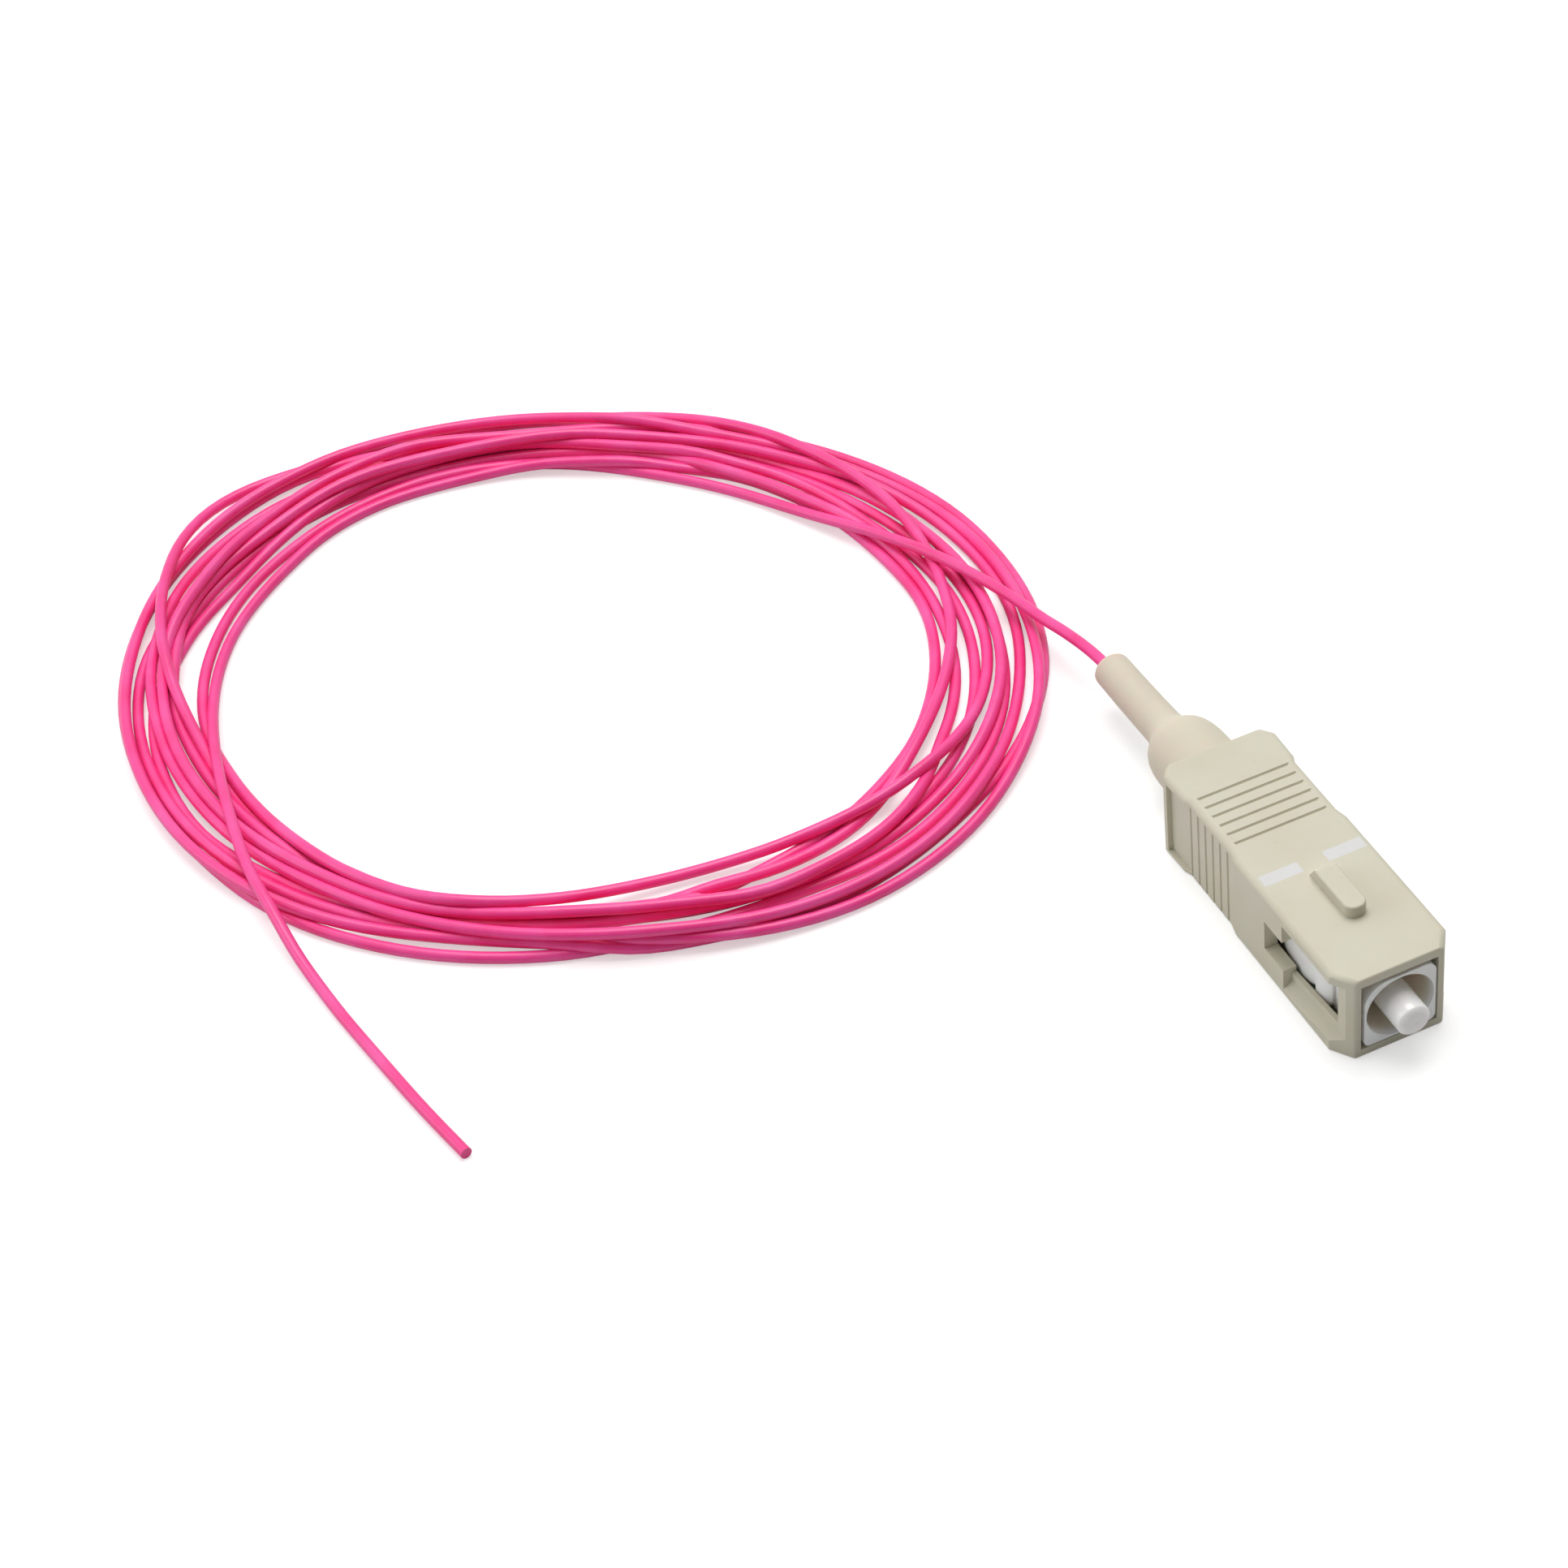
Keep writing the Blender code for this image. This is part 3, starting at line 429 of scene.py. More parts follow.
# lanes: for each turn of the coil, (angle, share across the ring from its inner to its outer edge)
# order: for each turn, (from this angle on, how high it lies among the turns that it meets)
# step: degrees between two points of a turn; entry: heights of the first points, under the lead
winding = {
    "middle": (-0.0454, -0.0347), "turned": 41.0, "outer": (0.0376, 0.0318), "inner": (0.0283, 0.0248),
    "step": 2.5, "diameter": 0.0009, "entry": (0.00255, 0.0025, 0.00245), "layer": 0.0001,
    "lanes": [
        [(28, 1.00), (33, 0.83), (38, 0.66), (44, 0.47), (49, 0.33), (54, 0.21), (59, 0.10), (64, 0.02),
         (70, -0.04), (75, -0.06), (81, -0.06), (86, -0.06), (91, -0.05), (95, -0.04), (100, -0.01),
         (105, 0.03), (110, 0.08), (115, 0.13), (120, 0.17), (130, 0.23), (140, 0.24), (149, 0.20),
         (164, 0.17), (179, 0.16), (194, 0.15), (209, 0.16), (219, 0.16), (230, 0.14), (241, 0.15),
         (251, 0.20), (262, 0.33), (271, 0.39), (276, 0.39), (281, 0.36), (286, 0.28), (290, 0.18),
         (295, 0.08), (300, -0.01), (310, -0.10), (320, -0.09), (330, 0.01), (339, 0.11), (344, 0.17),
         (349, 0.24), (354, 0.31), (359, 0.36)],
        [(4, 0.41), (9, 0.45), (20, 0.50), (31, 0.54), (41, 0.54), (51, 0.51), (61, 0.47), (71, 0.45),
         (81, 0.43), (90, 0.42), (105, 0.44), (120, 0.48), (135, 0.49), (149, 0.51), (164, 0.54),
         (179, 0.59), (189, 0.65), (199, 0.72), (209, 0.74), (225, 0.76), (240, 0.79), (254, 0.73),
         (264, 0.65), (275, 0.58), (285, 0.56), (290, 0.59), (295, 0.67), (300, 0.72), (305, 0.76),
         (310, 0.80), (320, 0.87), (330, 0.92), (341, 0.93), (351, 0.93)],
        [(0, 0.93), (14, 0.95), (30, 0.94), (45, 0.95), (61, 0.96), (75, 0.85), (90, 0.68), (99, 0.65),
         (110, 0.73), (120, 0.86), (130, 0.92), (140, 0.95), (150, 0.94), (160, 0.95), (169, 0.92),
         (180, 0.88), (196, 0.83), (211, 0.84), (226, 0.88), (241, 0.94), (251, 0.95), (260, 0.91),
         (270, 0.76), (280, 0.64), (290, 0.65), (300, 0.73), (310, 0.73), (320, 0.77), (330, 0.78),
         (341, 0.77), (351, 0.78)],
        [(1, 0.84), (11, 0.91), (21, 0.98), (31, 1.02), (46, 1.04), (61, 1.07), (71, 1.04), (81, 0.99),
         (90, 0.92), (100, 0.73), (110, 0.62), (120, 0.56), (135, 0.64), (150, 0.65), (166, 0.52),
         (182, 0.47), (197, 0.50), (211, 0.49), (226, 0.47), (241, 0.46), (256, 0.43), (271, 0.42),
         (285, 0.38), (300, 0.37), (310, 0.42), (319, 0.53), (329, 0.50), (339, 0.46), (344, 0.44),
         (349, 0.40), (355, 0.34)],
        [(0, 0.27), (11, 0.24), (21, 0.23), (31, 0.21), (41, 0.20), (51, 0.20), (60, 0.15), (69, 0.10),
         (80, 0.12), (90, 0.15), (100, 0.29), (110, 0.34), (120, 0.35), (135, 0.36), (149, 0.39),
         (164, 0.41), (179, 0.44), (194, 0.49), (209, 0.51), (224, 0.48), (239, 0.45), (254, 0.40),
         (270, 0.37), (285, 0.33), (300, 0.32), (315, 0.36), (331, 0.40), (346, 0.40)],
        [(1, 0.41), (11, 0.41), (21, 0.40), (31, 0.40), (41, 0.39), (51, 0.35), (61, 0.31), (70, 0.34),
         (80, 0.34), (89, 0.26), (105, 0.29), (120, 0.43), (135, 0.42), (149, 0.39), (164, 0.33),
         (179, 0.30), (189, 0.38), (199, 0.47), (209, 0.56), (219, 0.64), (229, 0.69), (239, 0.72),
         (249, 0.65), (259, 0.56), (270, 0.47), (280, 0.40), (290, 0.36), (300, 0.34), (310, 0.39),
         (320, 0.47), (330, 0.47), (341, 0.48), (351, 0.51)],
        [(0, 0.56), (10, 0.60), (19, 0.63), (29, 0.63), (44, 0.62), (54, 0.60), (65, 0.59), (76, 0.60),
         (90, 0.60), (100, 0.58), (110, 0.58), (120, 0.59), (130, 0.60), (137, 0.67), (142, 0.79),
         (148, 0.93), (154, 0.99), (164, 0.96), (179, 0.91), (194, 0.88), (209, 0.87), (224, 0.86),
         (236, 0.87), (244, 0.90), (254, 0.96), (264, 0.96), (275, 0.91), (285, 0.82), (295, 0.71),
         (305, 0.59), (315, 0.53), (325, 0.51), (332, 0.57), (341, 0.62), (351, 0.63)],
        [(1, 0.64), (16, 0.65), (31, 0.64), (46, 0.65), (61, 0.65), (76, 0.68), (90, 0.69), (105, 0.69),
         (120, 0.72), (135, 0.73), (150, 0.72), (159, 0.76), (169, 0.76), (180, 0.72), (190, 0.65),
         (200, 0.63), (211, 0.58), (225, 0.54), (240, 0.51), (256, 0.52), (270, 0.56), (285, 0.65),
         (300, 0.73), (315, 0.77), (330, 0.81), (344, 0.81), (360, 0.78)],
        [(11, 0.76), (21, 0.78), (31, 0.83), (41, 0.86), (51, 0.86), (60, 0.82), (70, 0.71), (79, 0.61),
         (90, 0.56), (105, 0.46), (120, 0.38), (135, 0.37), (150, 0.40), (166, 0.43), (181, 0.48),
         (191, 0.48), (200, 0.44), (209, 0.41), (224, 0.31), (240, 0.28), (255, 0.26), (269, 0.21),
         (285, 0.22), (300, 0.21), (315, 0.22), (331, 0.19), (341, 0.17), (351, 0.12)],
        [(1, 0.09), (11, 0.11), (20, 0.17), (29, 0.25), (39, 0.33), (49, 0.44), (58, 0.54), (68, 0.64),
         (79, 0.73), (89, 0.88), (95, 0.94), (105, 0.97), (115, 0.94), (125, 0.95), (135, 1.01),
         (150, 1.06), (154, 1.12), (159, 1.17), (165, 1.16), (170, 1.09), (176, 0.96), (181, 0.84),
         (187, 0.74), (192, 0.62), (198, 0.53), (202, 0.45), (207, 0.39), (211, 0.32), (216, 0.26),
         (220, 0.21), (229, 0.19), (239, 0.20), (255, 0.23), (270, 0.28), (285, 0.31), (300, 0.31),
         (310, 0.26), (320, 0.13), (331, 0.07), (341, 0.05), (351, 0.03)],
        [(1, 0.04), (11, 0.04), (21, 0.06), (31, 0.09), (40, 0.12), (49, 0.10), (60, 0.13), (76, 0.17),
         (90, 0.19), (100, 0.06), (110, 0.03), (120, 0.09), (130, 0.09), (140, 0.12), (149, 0.15),
         (154, 0.14), (159, 0.11), (169, 0.03), (179, 0.01), (189, 0.02), (199, 0.03), (209, 0.05),
         (220, 0.11), (228, 0.20), (235, 0.32), (240, 0.44), (246, 0.63), (251, 0.83), (256, 1.02),
         (260, 1.19)],
    ],
    "order": [
        [(0, 20), (97, 0), (135, 8), (228, 8), (272, 18)],
        [(0, 18), (47, 3), (195, 9), (262, 4), (297, 8)],
        [(0, 15), (262, 6)],
        [(0, 9), (108, 14), (200, 10), (262, 12)],
        [(0, 4), (60, 7), (108, 2), (200, 1)],
        [(0, 3), (56, 12), (110, 3.5), (205, 5), (262, 7)],
        [(0, 12), (60, 6), (137, 7), (170, 5), (245, 14), (293, 5), (328, 11)],
        [(0, 1), (153, 11), (197, 17)],
        [(0, 16), (160, 13), (205, 12), (255, 5), (335, 2.5)],
        [(0, 19), (112, 9), (150, 19), (226, 7), (312, 1.5)],
        [(0, 6), (95, 11), (200, 20)],
    ],
}
# the turns are laid, then drawn to the photo's places, then left to come apart where they still touch
settling = {
    "rounds": 560,
    # until this share of the rounds: pull to the photo's places, sag, evening out
    "phases": [(0.55, 0.20, 0.02e-3, 0.7), (0.75, 0.08, 0.006e-3, 0.7), (1.0, 0.01, 0.001e-3, 0.12)],
    "sideways": 0.25, "press": 0.6, "crossed": 0.75, "lift": 0.0005, "coincident": 5e-5,
}
# the stretches that aren't coiled: out of the boot and down on to the coil, and off it to the cut end
leadPoints = [
    (-0.01995, -0.00035, 0.00356), (-0.0210, -0.0004, 0.00354), (-0.0220, -0.00046, 0.00350),
    (-0.0238, -0.00058, 0.00336), (-0.0261, -0.0009, 0.00312), (-0.0284, -0.0013, 0.00284),
    (-0.0300, -0.0017, 0.00262),
]
tailPoints = [
    (-0.0270, -0.0638, 0.00110), (-0.0233, -0.0633, 0.00055), (-0.0195, -0.0628, 0.00045),
    (-0.0160, -0.0622, 0.00045), (-0.0126, -0.0616, 0.00045), (-0.0082, -0.0608, 0.00045),
    (-0.0028, -0.0596, 0.00045),
]


# a smooth line through the values, one row per station, read at the wanted stations
def smoothThrough(at, values, wanted):
    at, values = np.asarray(at, float), np.asarray(values, float)
    gaps = np.diff(at)
    slopes = np.diff(values, axis=0) / gaps.reshape(-1, *[1] * (values.ndim - 1))
    bend = np.empty_like(values)
    bend[0], bend[-1] = slopes[0], slopes[-1]
    for i in range(1, len(at) - 1):
        bend[i] = (slopes[i - 1] * gaps[i] + slopes[i] * gaps[i - 1]) / (gaps[i - 1] + gaps[i])
    piece = np.clip(np.searchsorted(at, wanted) - 1, 0, len(at) - 2)
    shape = (-1, *[1] * (values.ndim - 1))
    gap = gaps[piece].reshape(shape)
    u = ((wanted - at[piece]) / gaps[piece]).reshape(shape)
    first = (1 + 2 * u) * (1 - u) ** 2 * values[piece] + u * (1 - u) ** 2 * gap * bend[piece]
    return first + u * u * (3 - 2 * u) * values[piece + 1] + u * u * (u - 1) * gap * bend[piece + 1]


# places on the floor of points on the oval ring
def ringPlaces(angles, shares):
    turned, around = math.radians(winding["turned"]), np.radians(angles)
    inner, outer = np.array(winding["inner"]), np.array(winding["outer"])
    local = (inner + (outer - inner) * shares[:, None]) * np.stack([np.cos(around), np.sin(around)], 1)
    x = local[:, 0] * math.cos(turned) - local[:, 1] * math.sin(turned)
    y = local[:, 0] * math.sin(turned) + local[:, 1] * math.cos(turned)
    return np.stack([x, y], 1) + np.array(winding["middle"])


# smooths a row of values a little along the fibre
def evenOut(values, offset, share):
    padded = np.pad(offset, 2, mode="edge")
    smooth = (padded[:-4] + 4 * padded[1:-3] + 6 * padded[2:-2] + 4 * padded[3:-1] + padded[4:]) / 16
    values += (smooth - offset) * share


# follows the lanes round and lets the turns settle beside and on each other
def layTurns():
    at = [angle + 360 * turn for turn, lane in enumerate(winding["lanes"]) for angle, share in lane]
    shares = [share for lane in winding["lanes"] for angle, share in lane]
    step, diameter = winding["step"], winding["diameter"]
    angles = np.arange(at[0], at[-1], step)
    places = ringPlaces(angles, smoothThrough(at, shares, angles))
    order = np.empty(len(angles))
    for i, angle in enumerate(angles):
        turn = int(angle // 360)
        order[i] = max(p for p in winding["order"][turn] if p[0] <= angle % 360)[1] + 0.01 * turn
    perTurn = round(360 / step)
    count = len(angles)
    rows = -(-count // perTurn)
    grid = np.full((rows, perTurn), -1)
    for i in range(count):
        grid[i // perTurn, i % perTurn] = i
    middle = np.array(winding["middle"])
    reach = np.hypot(*(places - middle).T)
    outward = (places - middle) / reach[:, None]
    wanted, floor = reach.copy(), diameter / 2
    height = floor + winding["layer"] * order
    entry = len(winding["entry"])
    height[:entry] = winding["entry"]
    pairs = []
    for a in range(rows):
        for b in range(a + 1, rows):
            both = (grid[a] >= 0) & (grid[b] >= 0)
            if both.any():
                pairs.append((grid[a][both], grid[b][both]))
    sideways, press = settling["sideways"], settling["press"]
    for turnOver in range(settling["rounds"]):
        late = turnOver / settling["rounds"]
        pull, sag, even = next(phase[1:] for phase in settling["phases"] if late < phase[0])
        pushOut, pushUp, hits = np.zeros(count), np.zeros(count), np.zeros(count)
        for i, j in pairs:
            across, above = reach[i] - reach[j], height[i] - height[j]
            upper = np.sign(order[i] - order[j])
            apart = np.hypot(across, above)
            touch = apart < diameter
            under = touch & (above * upper < 0) & (np.abs(across) < settling["crossed"] * diameter)
            safe = np.maximum(apart, 1e-7)
            wayOut = np.where(under, 0.0, across / safe)
            wayUp = np.where(under | (touch & (apart < settling["coincident"])), upper, above / safe)
            size = np.where(under, np.minimum(diameter + np.abs(above), settling["lift"]), diameter - apart)
            size = np.where(touch, size, 0.0) * 0.5
            np.add.at(pushOut, i, size * wayOut * sideways)
            np.add.at(pushOut, j, -size * wayOut * sideways)
            np.add.at(pushUp, i, size * wayUp)
            np.add.at(pushUp, j, -size * wayUp * press)
            hits[i] += touch
            hits[j] += touch
        share = np.sqrt(np.maximum(hits, 1))
        reach = reach + pushOut / share
        height = np.maximum(height + pushUp / share - sag, floor)
        reach = reach + (wanted - reach) * pull
        evenOut(height, height.copy(), even)
        evenOut(reach, reach - wanted, even)
        height = np.maximum(height, floor)
        height[:entry] = winding["entry"]
    crowded = np.concatenate([np.hypot(reach[i] - reach[j], height[i] - height[j]) for i, j in pairs])
    print("  turns: highest %.2f mm, pairs nearer than 0.9 and 0.7 of a diameter: %d, %d of %d"
          % (height.max() * 1e3, (crowded < 0.9 * diameter).sum(), (crowded < 0.7 * diameter).sum(),
             len(crowded)))
    return np.column_stack([middle + outward * reach[:, None], height])


def stretch(points, spacing):
    points = np.array(points, float)
    along = np.concatenate([[0], np.cumsum(np.linalg.norm(np.diff(points, axis=0), axis=1))])
    return smoothThrough(along, points, np.linspace(0, along[-1], max(int(along[-1] / spacing), 2)))


def addFibre():
    leadSpacing, tailSpacing, softenings = 0.0007, 0.0012, 3
    turns = layTurns()
    lead = stretch(leadPoints + [tuple(turns[0])], leadSpacing)[:-1]
    tail = stretch([tuple(turns[-1])] + tailPoints, tailSpacing)[1:]
    line = np.concatenate([lead, turns, tail])
    for again in range(softenings):
        line[1:-1] = (line[:-2] + 2 * line[1:-1] + line[2:]) / 4
    line[:, 2] = np.maximum(line[:, 2], winding["diameter"] / 2)
    curve = bpy.data.curves.new("fibre", "CURVE")
    curve.dimensions = "3D"
    curve.bevel_depth, curve.bevel_resolution = winding["diameter"] / 2, 4
    curve.use_fill_caps = True
    spline = curve.splines.new("POLY")
    spline.points.add(len(line) - 1)
    spline.points.foreach_set("co", np.column_stack([line, np.ones(len(line))]).ravel())
    spline.use_smooth = True
    piece = bpy.data.objects.new("fibre", curve)
    bpy.context.scene.collection.objects.link(piece)
    length = np.linalg.norm(np.diff(line, axis=0), axis=1).sum()
    print("  fibre: %d points, %.3f m long" % (len(line), length))
    curve.materials.append(fibreJacket)
    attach(piece, "core")
    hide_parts("fibre_coil", "fibre_lead", "fibre_tail")


addFibre()
print("stage: fibre laid")

housing = {
    "length": 0.0250, "half": 0.0045, "height": 0.0074,
    "stations": [(0.0, 0.00342), (0.0016, 0.0045), (0.0142, 0.0045), (0.0152, 0.00426),
                 (0.0209, 0.00427), (0.0215, 0.0045), (0.0241, 0.00458), (0.0250, 0.0039)],
    "topRound": 0.00050, "bottomRound": 0.0002, "frontRound": 0.00016, "rearRound": 0.00020,
    "cavity": 0.00297, "sideCavity": 0.00345, "sideCavityHalf": 0.00249, "sideCavityEnd": 0.01455,
    "rearWall": 0.00222, "rearHole": 0.00327, "pillar": 0.00156, "softness": 0.00010,
}
# how far a cutter reaches past the surface or into the next cut
reachPast = {"outer": 0.0005, "wall": 0.0003, "rear": 0.0002}
key = {"start": 0.00517, "length": 0.00448, "half": 0.00083, "height": 0.00100, "ramp": 0.0009,
       "root": 0.0003, "round": 0.00074, "topRound": 0.00016}
# a groove's bar is wide at "past" above the surface and narrows to its floor
grooves = {"count": 6, "first": 0.01555, "pitch": 0.00103, "width": 0.00036, "depth": 0.00017,
           "past": 0.0001, "narrow": 0.22, "runOut": 0.93, "sideRunOut": 0.0004,
           "topHalf": 0.00378, "sideTop": 0.0070, "sideLow": -0.0004}
panel = {"depth": 0.0003, "from": 0.0209, "to": 0.0237, "low": 0.0004, "high": 0.0068}
recess = {"rear": 0.00763, "depth": 0.00068, "top": 0.0065, "slope": 0.0006,
          "lip": [(0.00763, 0.00118), (0.0062, 0.00112), (0.0052, 0.00115), (0.0042, 0.00130),
                  (0.0032, 0.00152), (0.0022, 0.00160), (0.0012, 0.00160), (-0.0006, 0.00160)]}
window = {"rear": 0.01015, "sill": 0.00245, "sillDrop": 0.0006, "rearSill": 0.0023, "step": 0.0078,
          "rearTop": 0.0049}


# tapered bars for the grooves of the top, bottom and sides, joined into one cutter
def makeGrooveCutters():
    cutters = []
    past, depth, half, top = grooves["past"], grooves["depth"], grooves["topHalf"], housing["height"]
    waist, narrow = housing["stations"][3][1], grooves["narrow"]

    def addBar(lowest, highest, axis, floor, shrink, lift):
        bar = addBlock("grooveBar", lowest, highest)
        edit(bar)
        middle = [(a + b) / 2 for a, b in zip(lowest, highest)]
        resizeWhere(bar, lambda v: near(v.co[axis], floor), shrink, middle)
        if lift:
            moveWhere(bar, lambda v: near(v.co[axis], floor) and v.co.z > connector["axisZ"],
                      (0, 0, -lift))
        leave()
        cutters.append(bar)

    for i in range(grooves["count"]):
        middle = behindFront(grooves["first"] + i * grooves["pitch"])
        low, high = middle - grooves["width"] / 2, middle + grooves["width"] / 2
        across = (narrow, grooves["runOut"], 1)
        addBar((low, -half, top - depth), (high, half, top + past), 2, top - depth, across, 0)
        addBar((low, -half, -past), (high, half, depth), 2, depth, across, 0)
        for side in (-1, 1):
            floor = side * (waist - depth)
            inner, outer = sorted((floor, side * (waist + past)))
            addBar((low, inner, grooves["sideLow"]), (high, outer, grooves["sideTop"]), 1, floor,
                   (narrow, 1, 1), grooves["sideRunOut"])
    activate(cutters[0])
    for bar in cutters:
        bar.select_set(True)
    bpy.ops.object.join()
    return bpy.context.object


def makeKey():
    start, rear = behindFront(key["start"]), behindFront(key["start"] + key["length"])
    top = housing["height"]
    roof = top + key["height"]
    shape = addBlock("keyShape", (rear, -key["half"], top - key["root"]), (start, key["half"], roof))
    edit(shape)
    moveWhere(shape, lambda v: near(v.co.x, rear) and v.co.z < top, (-key["ramp"], 0, 0))
    roundEdges(shape, lambda e: all(near(v.co.x, start) for v in e.verts)
               and abs(e.verts[0].co.z - e.verts[1].co.z) > 0.0005, key["round"], 8)
    roundEdges(shape, lambda e: all(near(v.co.z, roof) for v in e.verts), key["topRound"], 4)
    leave()
    return shape


# the scooped recess, whose lower lip curves up towards the front
def makeRecess(side):
    floor, outside = housing["half"] - recess["depth"], housing["half"] + recess["depth"]
    inner, outer = sorted((side * floor, side * outside))
    shape = addBlock("recessShape", (behindFront(recess["rear"]), inner, 0.0),
                     (behindFront(recess["lip"][-1][0]), outer, recess["top"]))
    edit(shape)
    sliceAt(0, [behindFront(u) for u, z in recess["lip"][1:-1]])
    drop = recess["slope"] * (outside - floor) / recess["depth"]
    for u, z in recess["lip"]:
        x = behindFront(u)
        moveWhere(shape, lambda v: near(v.co.x, x) and v.co.z < 0.0005, (0, 0, z))
        choose(shape, "VERT", lambda v: near(v.co.x, x) and v.co.z < recess["top"] - 0.001
               and near(abs(v.co.y), outside))
        bpy.ops.transform.translate(value=(0, 0, -drop))
    leave()
    return shape


# the housing's outside, narrowed from station to station, with its rounded edges
def makeHousingBody():
    half, top, length = housing["half"], housing["height"], housing["length"]
    piece = addBlock("outerHousing", (behindFront(length), -half, 0.0), (behindFront(0), half, top))
    edit(piece)
    sliceAt(0, [behindFront(u) for u, width in housing["stations"][1:-1]])
    for u, width in housing["stations"]:
        x = behindFront(u)
        resizeWhere(piece, lambda v: near(v.co.x, x), (1, width / half, 1), (x, 0, 0))

    def lengthwise(edge, z):
        a, b = edge.verts
        return near(a.co.z, z) and near(b.co.z, z) and a.co.y * b.co.y > 0 and abs(a.co.x - b.co.x) > 1e-5

    roundEdges(piece, lambda e: lengthwise(e, top), housing["topRound"], 5)
    roundEdges(piece, lambda e: lengthwise(e, 0.0), housing["bottomRound"], 3)
    for u, radius in ((0.0, housing["frontRound"]), (length, housing["rearRound"])):
        roundEdges(piece, lambda e: all(near(v.co.x, behindFront(u)) for v in e.verts), radius, 4)
    leave()
    return piece


def hollowHousing(piece):
    reach, axisZ, past = housing["cavity"], connector["axisZ"], reachPast["outer"]
    length, inside = housing["length"], housing["length"] - housing["rearWall"]
    carve(piece, addBlock("cavity", (behindFront(inside), -reach, axisZ - reach),
                          (behindFront(-past), reach, axisZ + reach)))
    wide, tall = housing["sideCavity"], housing["sideCavityHalf"]
    carve(piece, addBlock("sideCavity", (behindFront(housing["sideCavityEnd"]), -wide, axisZ - tall),
                          (behindFront(housing["pillar"]), wide, axisZ + tall)))
    hole = [(length + past, 0.0), (length + past, housing["rearHole"]),
            (inside - past, housing["rearHole"]), (inside - past, 0.0)]
    carve(piece, turnedPiece("rearHole", hole, 64))


def carveSide(piece, side):
    half, axisZ, wall = housing["half"], connector["axisZ"], reachPast["wall"]
    inner, outer = sorted((side * (half - panel["depth"]), side * (half + reachPast["outer"])))
    carve(piece, addBlock("panelShape", (behindFront(panel["to"]), inner, panel["low"]),
                          (behindFront(panel["from"]), outer, panel["high"])))
    carve(piece, makeRecess(side))
    inner, outer = sorted((side * (housing["sideCavity"] - wall), side * (half + wall)))
    rear = behindFront(recess["rear"])
    # the sill drops from the pillar back to the tab
    opening = addBlock("windowFront", (rear, inner, window["sill"]),
                       (behindFront(housing["pillar"]), outer, recess["top"]))
    edit(opening)
    moveWhere(opening, lambda v: v.co.z < axisZ and near(v.co.x, rear), (0, 0, -window["sillDrop"]))
    leave()
    carve(piece, opening)
    carve(piece, addBlock("windowStep", (behindFront(window["step"]), inner, axisZ),
                          (behindFront(recess["rear"] - wall), outer, recess["top"])))
    carve(piece, addBlock("windowRear", (behindFront(window["rear"]), inner, window["rearSill"]),
                          (behindFront(recess["rear"] - reachPast["rear"]), outer, window["rearTop"])))


def makeHousing():
    piece = makeHousingBody()
    carve(piece, makeKey(), "UNION")
    hollowHousing(piece)
    carve(piece, makeGrooveCutters())
    for side in (-1, 1):
        carveSide(piece, side)
    finishPiece(piece, housing["softness"], 3)
    dress(piece, housingPlastic, "sleeve", "housing_plastic", "outer_housing")


makeHousing()
print("stage: housing made")

innerFrame = {
    "half": 0.00275, "length": 0.0192, "proud": 0.0001, "bore": 0.0025, "boreDepth": 0.0074,
    # radius of each long edge, by the sides of y and z that it is on
    "corners": {(-1, 1): 0.0018, (1, 1): 0.0008, (-1, -1): 0.00045, (1, -1): 0.0006},
    "boreChamfer": 0.00011, "boreChamferDepth": 0.0004, "bulkhead": 0.0010, "rearBore": 0.0023,
    "hole": 0.00155, "softness": 0.00008,
    # the bulges seen through the side windows: (distance behind the front, half width, half height)
    "flank": [(0.0053, 0.00312, 0.00178), (0.0063, 0.00320, 0.00222), (0.0071, 0.00322, 0.00238),
              (0.0083, 0.00320, 0.00230), (0.0096, 0.00312, 0.00205), (0.0104, 0.00292, 0.00150)],
    "rib": [(0.00364, 0.00300, 0.00190), (0.0040, 0.00322, 0.00232), (0.0046, 0.00334, 0.00244),
            (0.00525, 0.00336, 0.00246)],
    "flankRound": 0.00040,
}
ferruleShape = {
    "radius": 0.00125, "proud": 0.0021, "tip": 0.00042, "flange": 0.0019, "flangeLength": 0.0020,
    "flangeEdge": 0.00015, "root": 0.0001, "gap": 0.0003, "fibreHole": 0.00006,
}


# a bulge on the frame's side, wider and taller from station to station
def makeFlank(side, stations):
    axisZ, root = connector["axisZ"], side * (innerFrame["half"] - reachPast["wall"])
    wide, tall = stations[0][1], stations[0][2]
    inner, outer = sorted((root, side * wide))
    bulge = addBlock("flankShape", (behindFront(stations[-1][0]), inner, axisZ - tall),
                     (behindFront(stations[0][0]), outer, axisZ + tall))
    edit(bulge)
    sliceAt(0, [behindFront(u) for u, width, height in stations[1:-1]])
    for u, width, height in stations:
        x = behindFront(u)
        resizeWhere(bulge, lambda v: near(v.co.x, x), (1, 1, height / tall), (x, 0, axisZ))
        moveWhere(bulge, lambda v: near(v.co.x, x) and near(v.co.y, side * wide),
                  (0, side * (width - wide), 0))

    def outerEdge(edge):
        a, b = edge.verts
        outside = all(abs(v.co.y) > innerFrame["half"] for v in (a, b))
        return outside and abs(a.co.x - b.co.x) > 1e-5 and (a.co.z - axisZ) * (b.co.z - axisZ) > 0

    roundEdges(bulge, outerEdge, innerFrame["flankRound"], 5)
    leave()
    return bulge


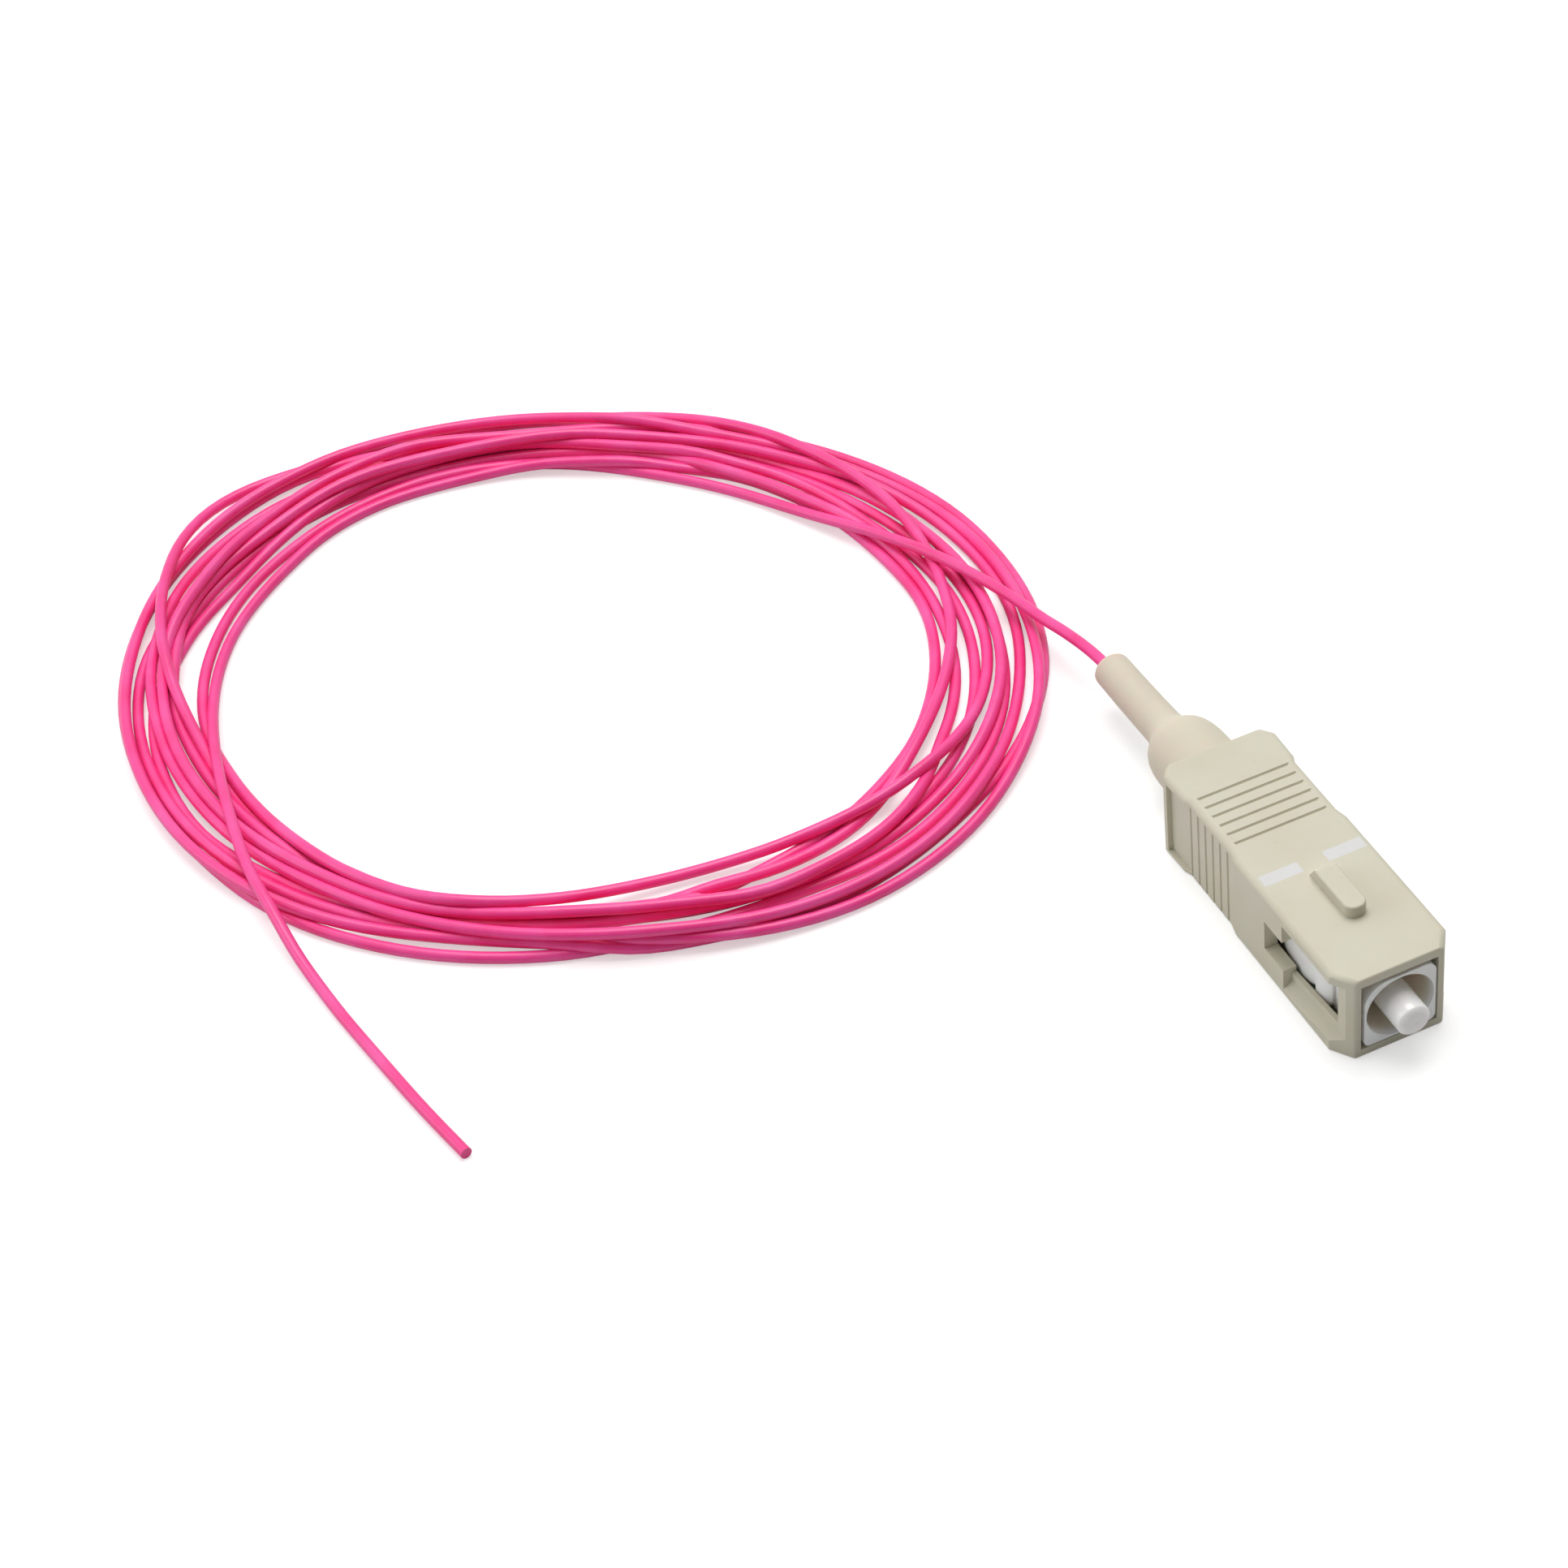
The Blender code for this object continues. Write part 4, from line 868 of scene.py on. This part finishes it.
def makeInnerFrame():
    half, axisZ, proud = innerFrame["half"], connector["axisZ"], innerFrame["proud"]
    rear = behindFront(innerFrame["length"] - proud)
    piece = addBlock("innerFrame", (rear, -half, axisZ - half), (behindFront(-proud), half, axisZ + half))
    edit(piece)
    for (side, level), radius in innerFrame["corners"].items():
        def longEdge(edge):
            a, b = edge.verts
            return abs(a.co.x - b.co.x) > 0.01 and near(a.co.z, axisZ + level * half) \
                and near(a.co.y, side * half)

        roundEdges(piece, longEdge, radius, 8)
    leave()
    for side in (-1, 1):
        carve(piece, makeFlank(side, innerFrame["flank"]), "UNION")
        carve(piece, makeFlank(side, innerFrame["rib"]), "UNION")
    bore, hole, rearBore = innerFrame["bore"], innerFrame["hole"], innerFrame["rearBore"]
    depth, bulkhead = innerFrame["boreDepth"], innerFrame["boreDepth"] + innerFrame["bulkhead"]
    mouth, mouthDepth = bore + innerFrame["boreChamfer"], innerFrame["boreChamferDepth"]
    before, beyond = -proud - reachPast["wall"], innerFrame["length"] + reachPast["wall"]
    profile = [(before, 0.0), (before, mouth), (-proud, mouth), (mouthDepth, bore), (depth, bore),
               (depth, hole), (bulkhead, hole), (bulkhead, rearBore), (beyond, rearBore), (beyond, 0.0)]
    carve(piece, turnedPiece("frameBore", profile, 96))
    finishPiece(piece, innerFrame["softness"], 3)
    dress(piece, framePlastic, "core", "frame_plastic", "inner_frame")


def makeFerrule():
    radius, proud, tip = ferruleShape["radius"], ferruleShape["proud"], ferruleShape["tip"]
    front = innerFrame["boreDepth"] + innerFrame["bulkhead"] + ferruleShape["gap"]
    rear = front + ferruleShape["flangeLength"]
    hole, root = ferruleShape["fibreHole"], ferruleShape["root"]
    flange, edge = ferruleShape["flange"], ferruleShape["flangeEdge"]
    # a dimple for the fibre, a flat end, a rounded tip, the rod and its flange
    profile = [(-proud + 0.00005, 0.0), (-proud + 0.00001, hole * 0.9), (-proud, hole * 1.6),
               (-proud, radius - tip)]
    profile += [(-proud + tip * 0.95 * t, radius - tip * (1 - math.sin(t * math.pi / 2) ** 0.9))
                for t in (0.12, 0.3, 0.5, 0.7, 0.85, 1.0)]
    profile += [(0.0, radius), (0.004, radius), (front - root, radius), (front, radius + root),
                (front, flange - edge), (front + edge, flange), (rear - edge, flange),
                (rear, flange - edge), (rear, 0.0)]
    piece = turnedPiece("ferruleRod", profile, 96)
    finishPiece(piece, 0.0, 0, weighted=False)
    dress(piece, ceramic, "ferrule", "ceramic", "ferrule")


makeInnerFrame()
makeFerrule()
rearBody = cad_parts["rear_body"]
for place in range(len(rearBody.material_slots)):
    rearBody.material_slots[place].material = rearPlastic
print("stage: frame and ferrule made")

boot = {
    "front": 0.0205, "socket": 0.0019, "socketEnd": 0.0288, "way": 0.00075,
    "lip": 0.0010, "lipDepth": 0.0002,
    "outside": [(0.0205, 0.0028), (0.0247, 0.0028), (0.0254, 0.00290), (0.0262, 0.00297), (0.0276, 0.00297),
                (0.0284, 0.00294), (0.0291, 0.00286), (0.0297, 0.00272), (0.0301, 0.00254), (0.0305, 0.00227),
                (0.0308, 0.00199), (0.0311, 0.00177), (0.0315, 0.00161), (0.0322, 0.00153), (0.0340, 0.00150),
                (0.0370, 0.00147), (0.0397, 0.00144), (0.0399, 0.00141), (0.04003, 0.00132), (0.0401, 0.00118)],
    # how far the boot leans off the connector's axis: (distance behind the front, y, z)
    "lean": [(0.0205, 0.0, 0.0), (0.0255, 0.0, 0.0), (0.0275, -0.00004, -0.00002),
             (0.0300, -0.00010, -0.00005), (0.0350, -0.00025, -0.00010), (0.0402, -0.00032, -0.00013)],
}


def makeBoot():
    mouth = boot["outside"][-1][0]
    profile = boot["outside"] + [
        (mouth, boot["lip"]), (mouth - boot["lipDepth"], boot["way"]), (boot["socketEnd"], boot["way"]),
        (boot["socketEnd"], boot["socket"]), (boot["front"], boot["socket"]), boot["outside"][0]]
    piece = turnedPiece("bootSleeve", profile, 96)
    edit(piece)
    at = [u for u, y, z in boot["lean"]]
    shape = bmesh.from_edit_mesh(piece.data)
    behind = np.array([connector["frontX"] - v.co.x for v in shape.verts])
    shift = smoothThrough(at, [(y, z) for u, y, z in boot["lean"]], behind)
    for vertex, (y, z) in zip(shape.verts, shift):
        vertex.co.y += y
        vertex.co.z += z
    bmesh.update_edit_mesh(piece.data)
    leave()
    finishPiece(piece, 0.0, 0, weighted=False)
    dress(piece, bootRubber, "core", "boot_rubber", "boot")


makeBoot()
print("stage: boot made")

studio = {
    "floorSize": 3.6, "floorTone": (0.66, 0.66, 0.66, 1), "floorGlow": 0.50, "floorBounce": 0.08,
    "skyBehind": 0.66, "skyInFront": 0.10, "skyTurn": (-0.4, 0.7),
    "floorRough": 0.9, "floorShine": 0.1, "aim": (-0.02, -0.02, 0.0),
    # name, place, size, power in watts, colour
    "lights": [
        ("keyLight", (-0.16, 0.06, 0.62), 0.45, 2.7, (1.0, 0.99, 0.97)),
        ("sideLight", (-0.20, -0.55, 0.32), 0.40, 0.75, (0.98, 0.99, 1.0)),
    ],
}


def addFloor():
    deselectAll()
    bpy.ops.mesh.primitive_plane_add(size=studio["floorSize"], location=(0, 0, 0))
    floor = bpy.context.object
    floor.name = "floor"
    material = bpy.data.materials.new("floorPaper")
    material.use_nodes = True
    bench = NodeBench(material.node_tree)
    shader = bench.tree.nodes["Principled BSDF"]
    shader.inputs["Roughness"].default_value = studio["floorRough"]
    shader.inputs["Specular IOR Level"].default_value = studio["floorShine"]
    shader.inputs["Base Color"].default_value = studio["floorTone"]
    shader.inputs["Emission Color"].default_value = (1, 1, 1, 1)
    # the paper looks white, but throws less light back on the part than it shows
    seen = bench.add("ShaderNodeLightPath").outputs["Is Camera Ray"]
    glow = bench.span(seen, 0.0, 1.0, studio["floorBounce"], studio["floorGlow"])
    bench.feed(shader.inputs["Emission Strength"], glow)
    floor.data.materials.append(material)


def addLights():
    aim = Vector(studio["aim"])
    for name, place, size, power, tone in studio["lights"]:
        lamp = bpy.data.lights.new(name, "AREA")
        lamp.shape, lamp.size, lamp.energy, lamp.color = "SQUARE", size, power, tone
        light = bpy.data.objects.new(name, lamp)
        bpy.context.scene.collection.objects.link(light)
        light.location = place
        light.rotation_mode = "QUATERNION"
        light.rotation_quaternion = (aim - Vector(place)).to_track_quat("-Z", "Y")
    world = bpy.data.worlds.new("studio")
    world.use_nodes = True
    bench = NodeBench(world.node_tree)
    sky = world.node_tree.nodes["Background"]
    sky.inputs[0].default_value = (1, 1, 1, 1)
    # the sky is dimmer in front of the connector, so its front face stays in shade
    way = bench.add("ShaderNodeTexCoord").outputs["Generated"]
    ahead = bench.add("ShaderNodeSeparateXYZ", {0: way}).outputs[0]
    bench.feed(sky.inputs[1], bench.span(ahead, *studio["skyTurn"],
                                         studio["skyBehind"], studio["skyInFront"]))
    bpy.context.scene.world = world


addFloor()
addLights()
print("stage: studio lit")
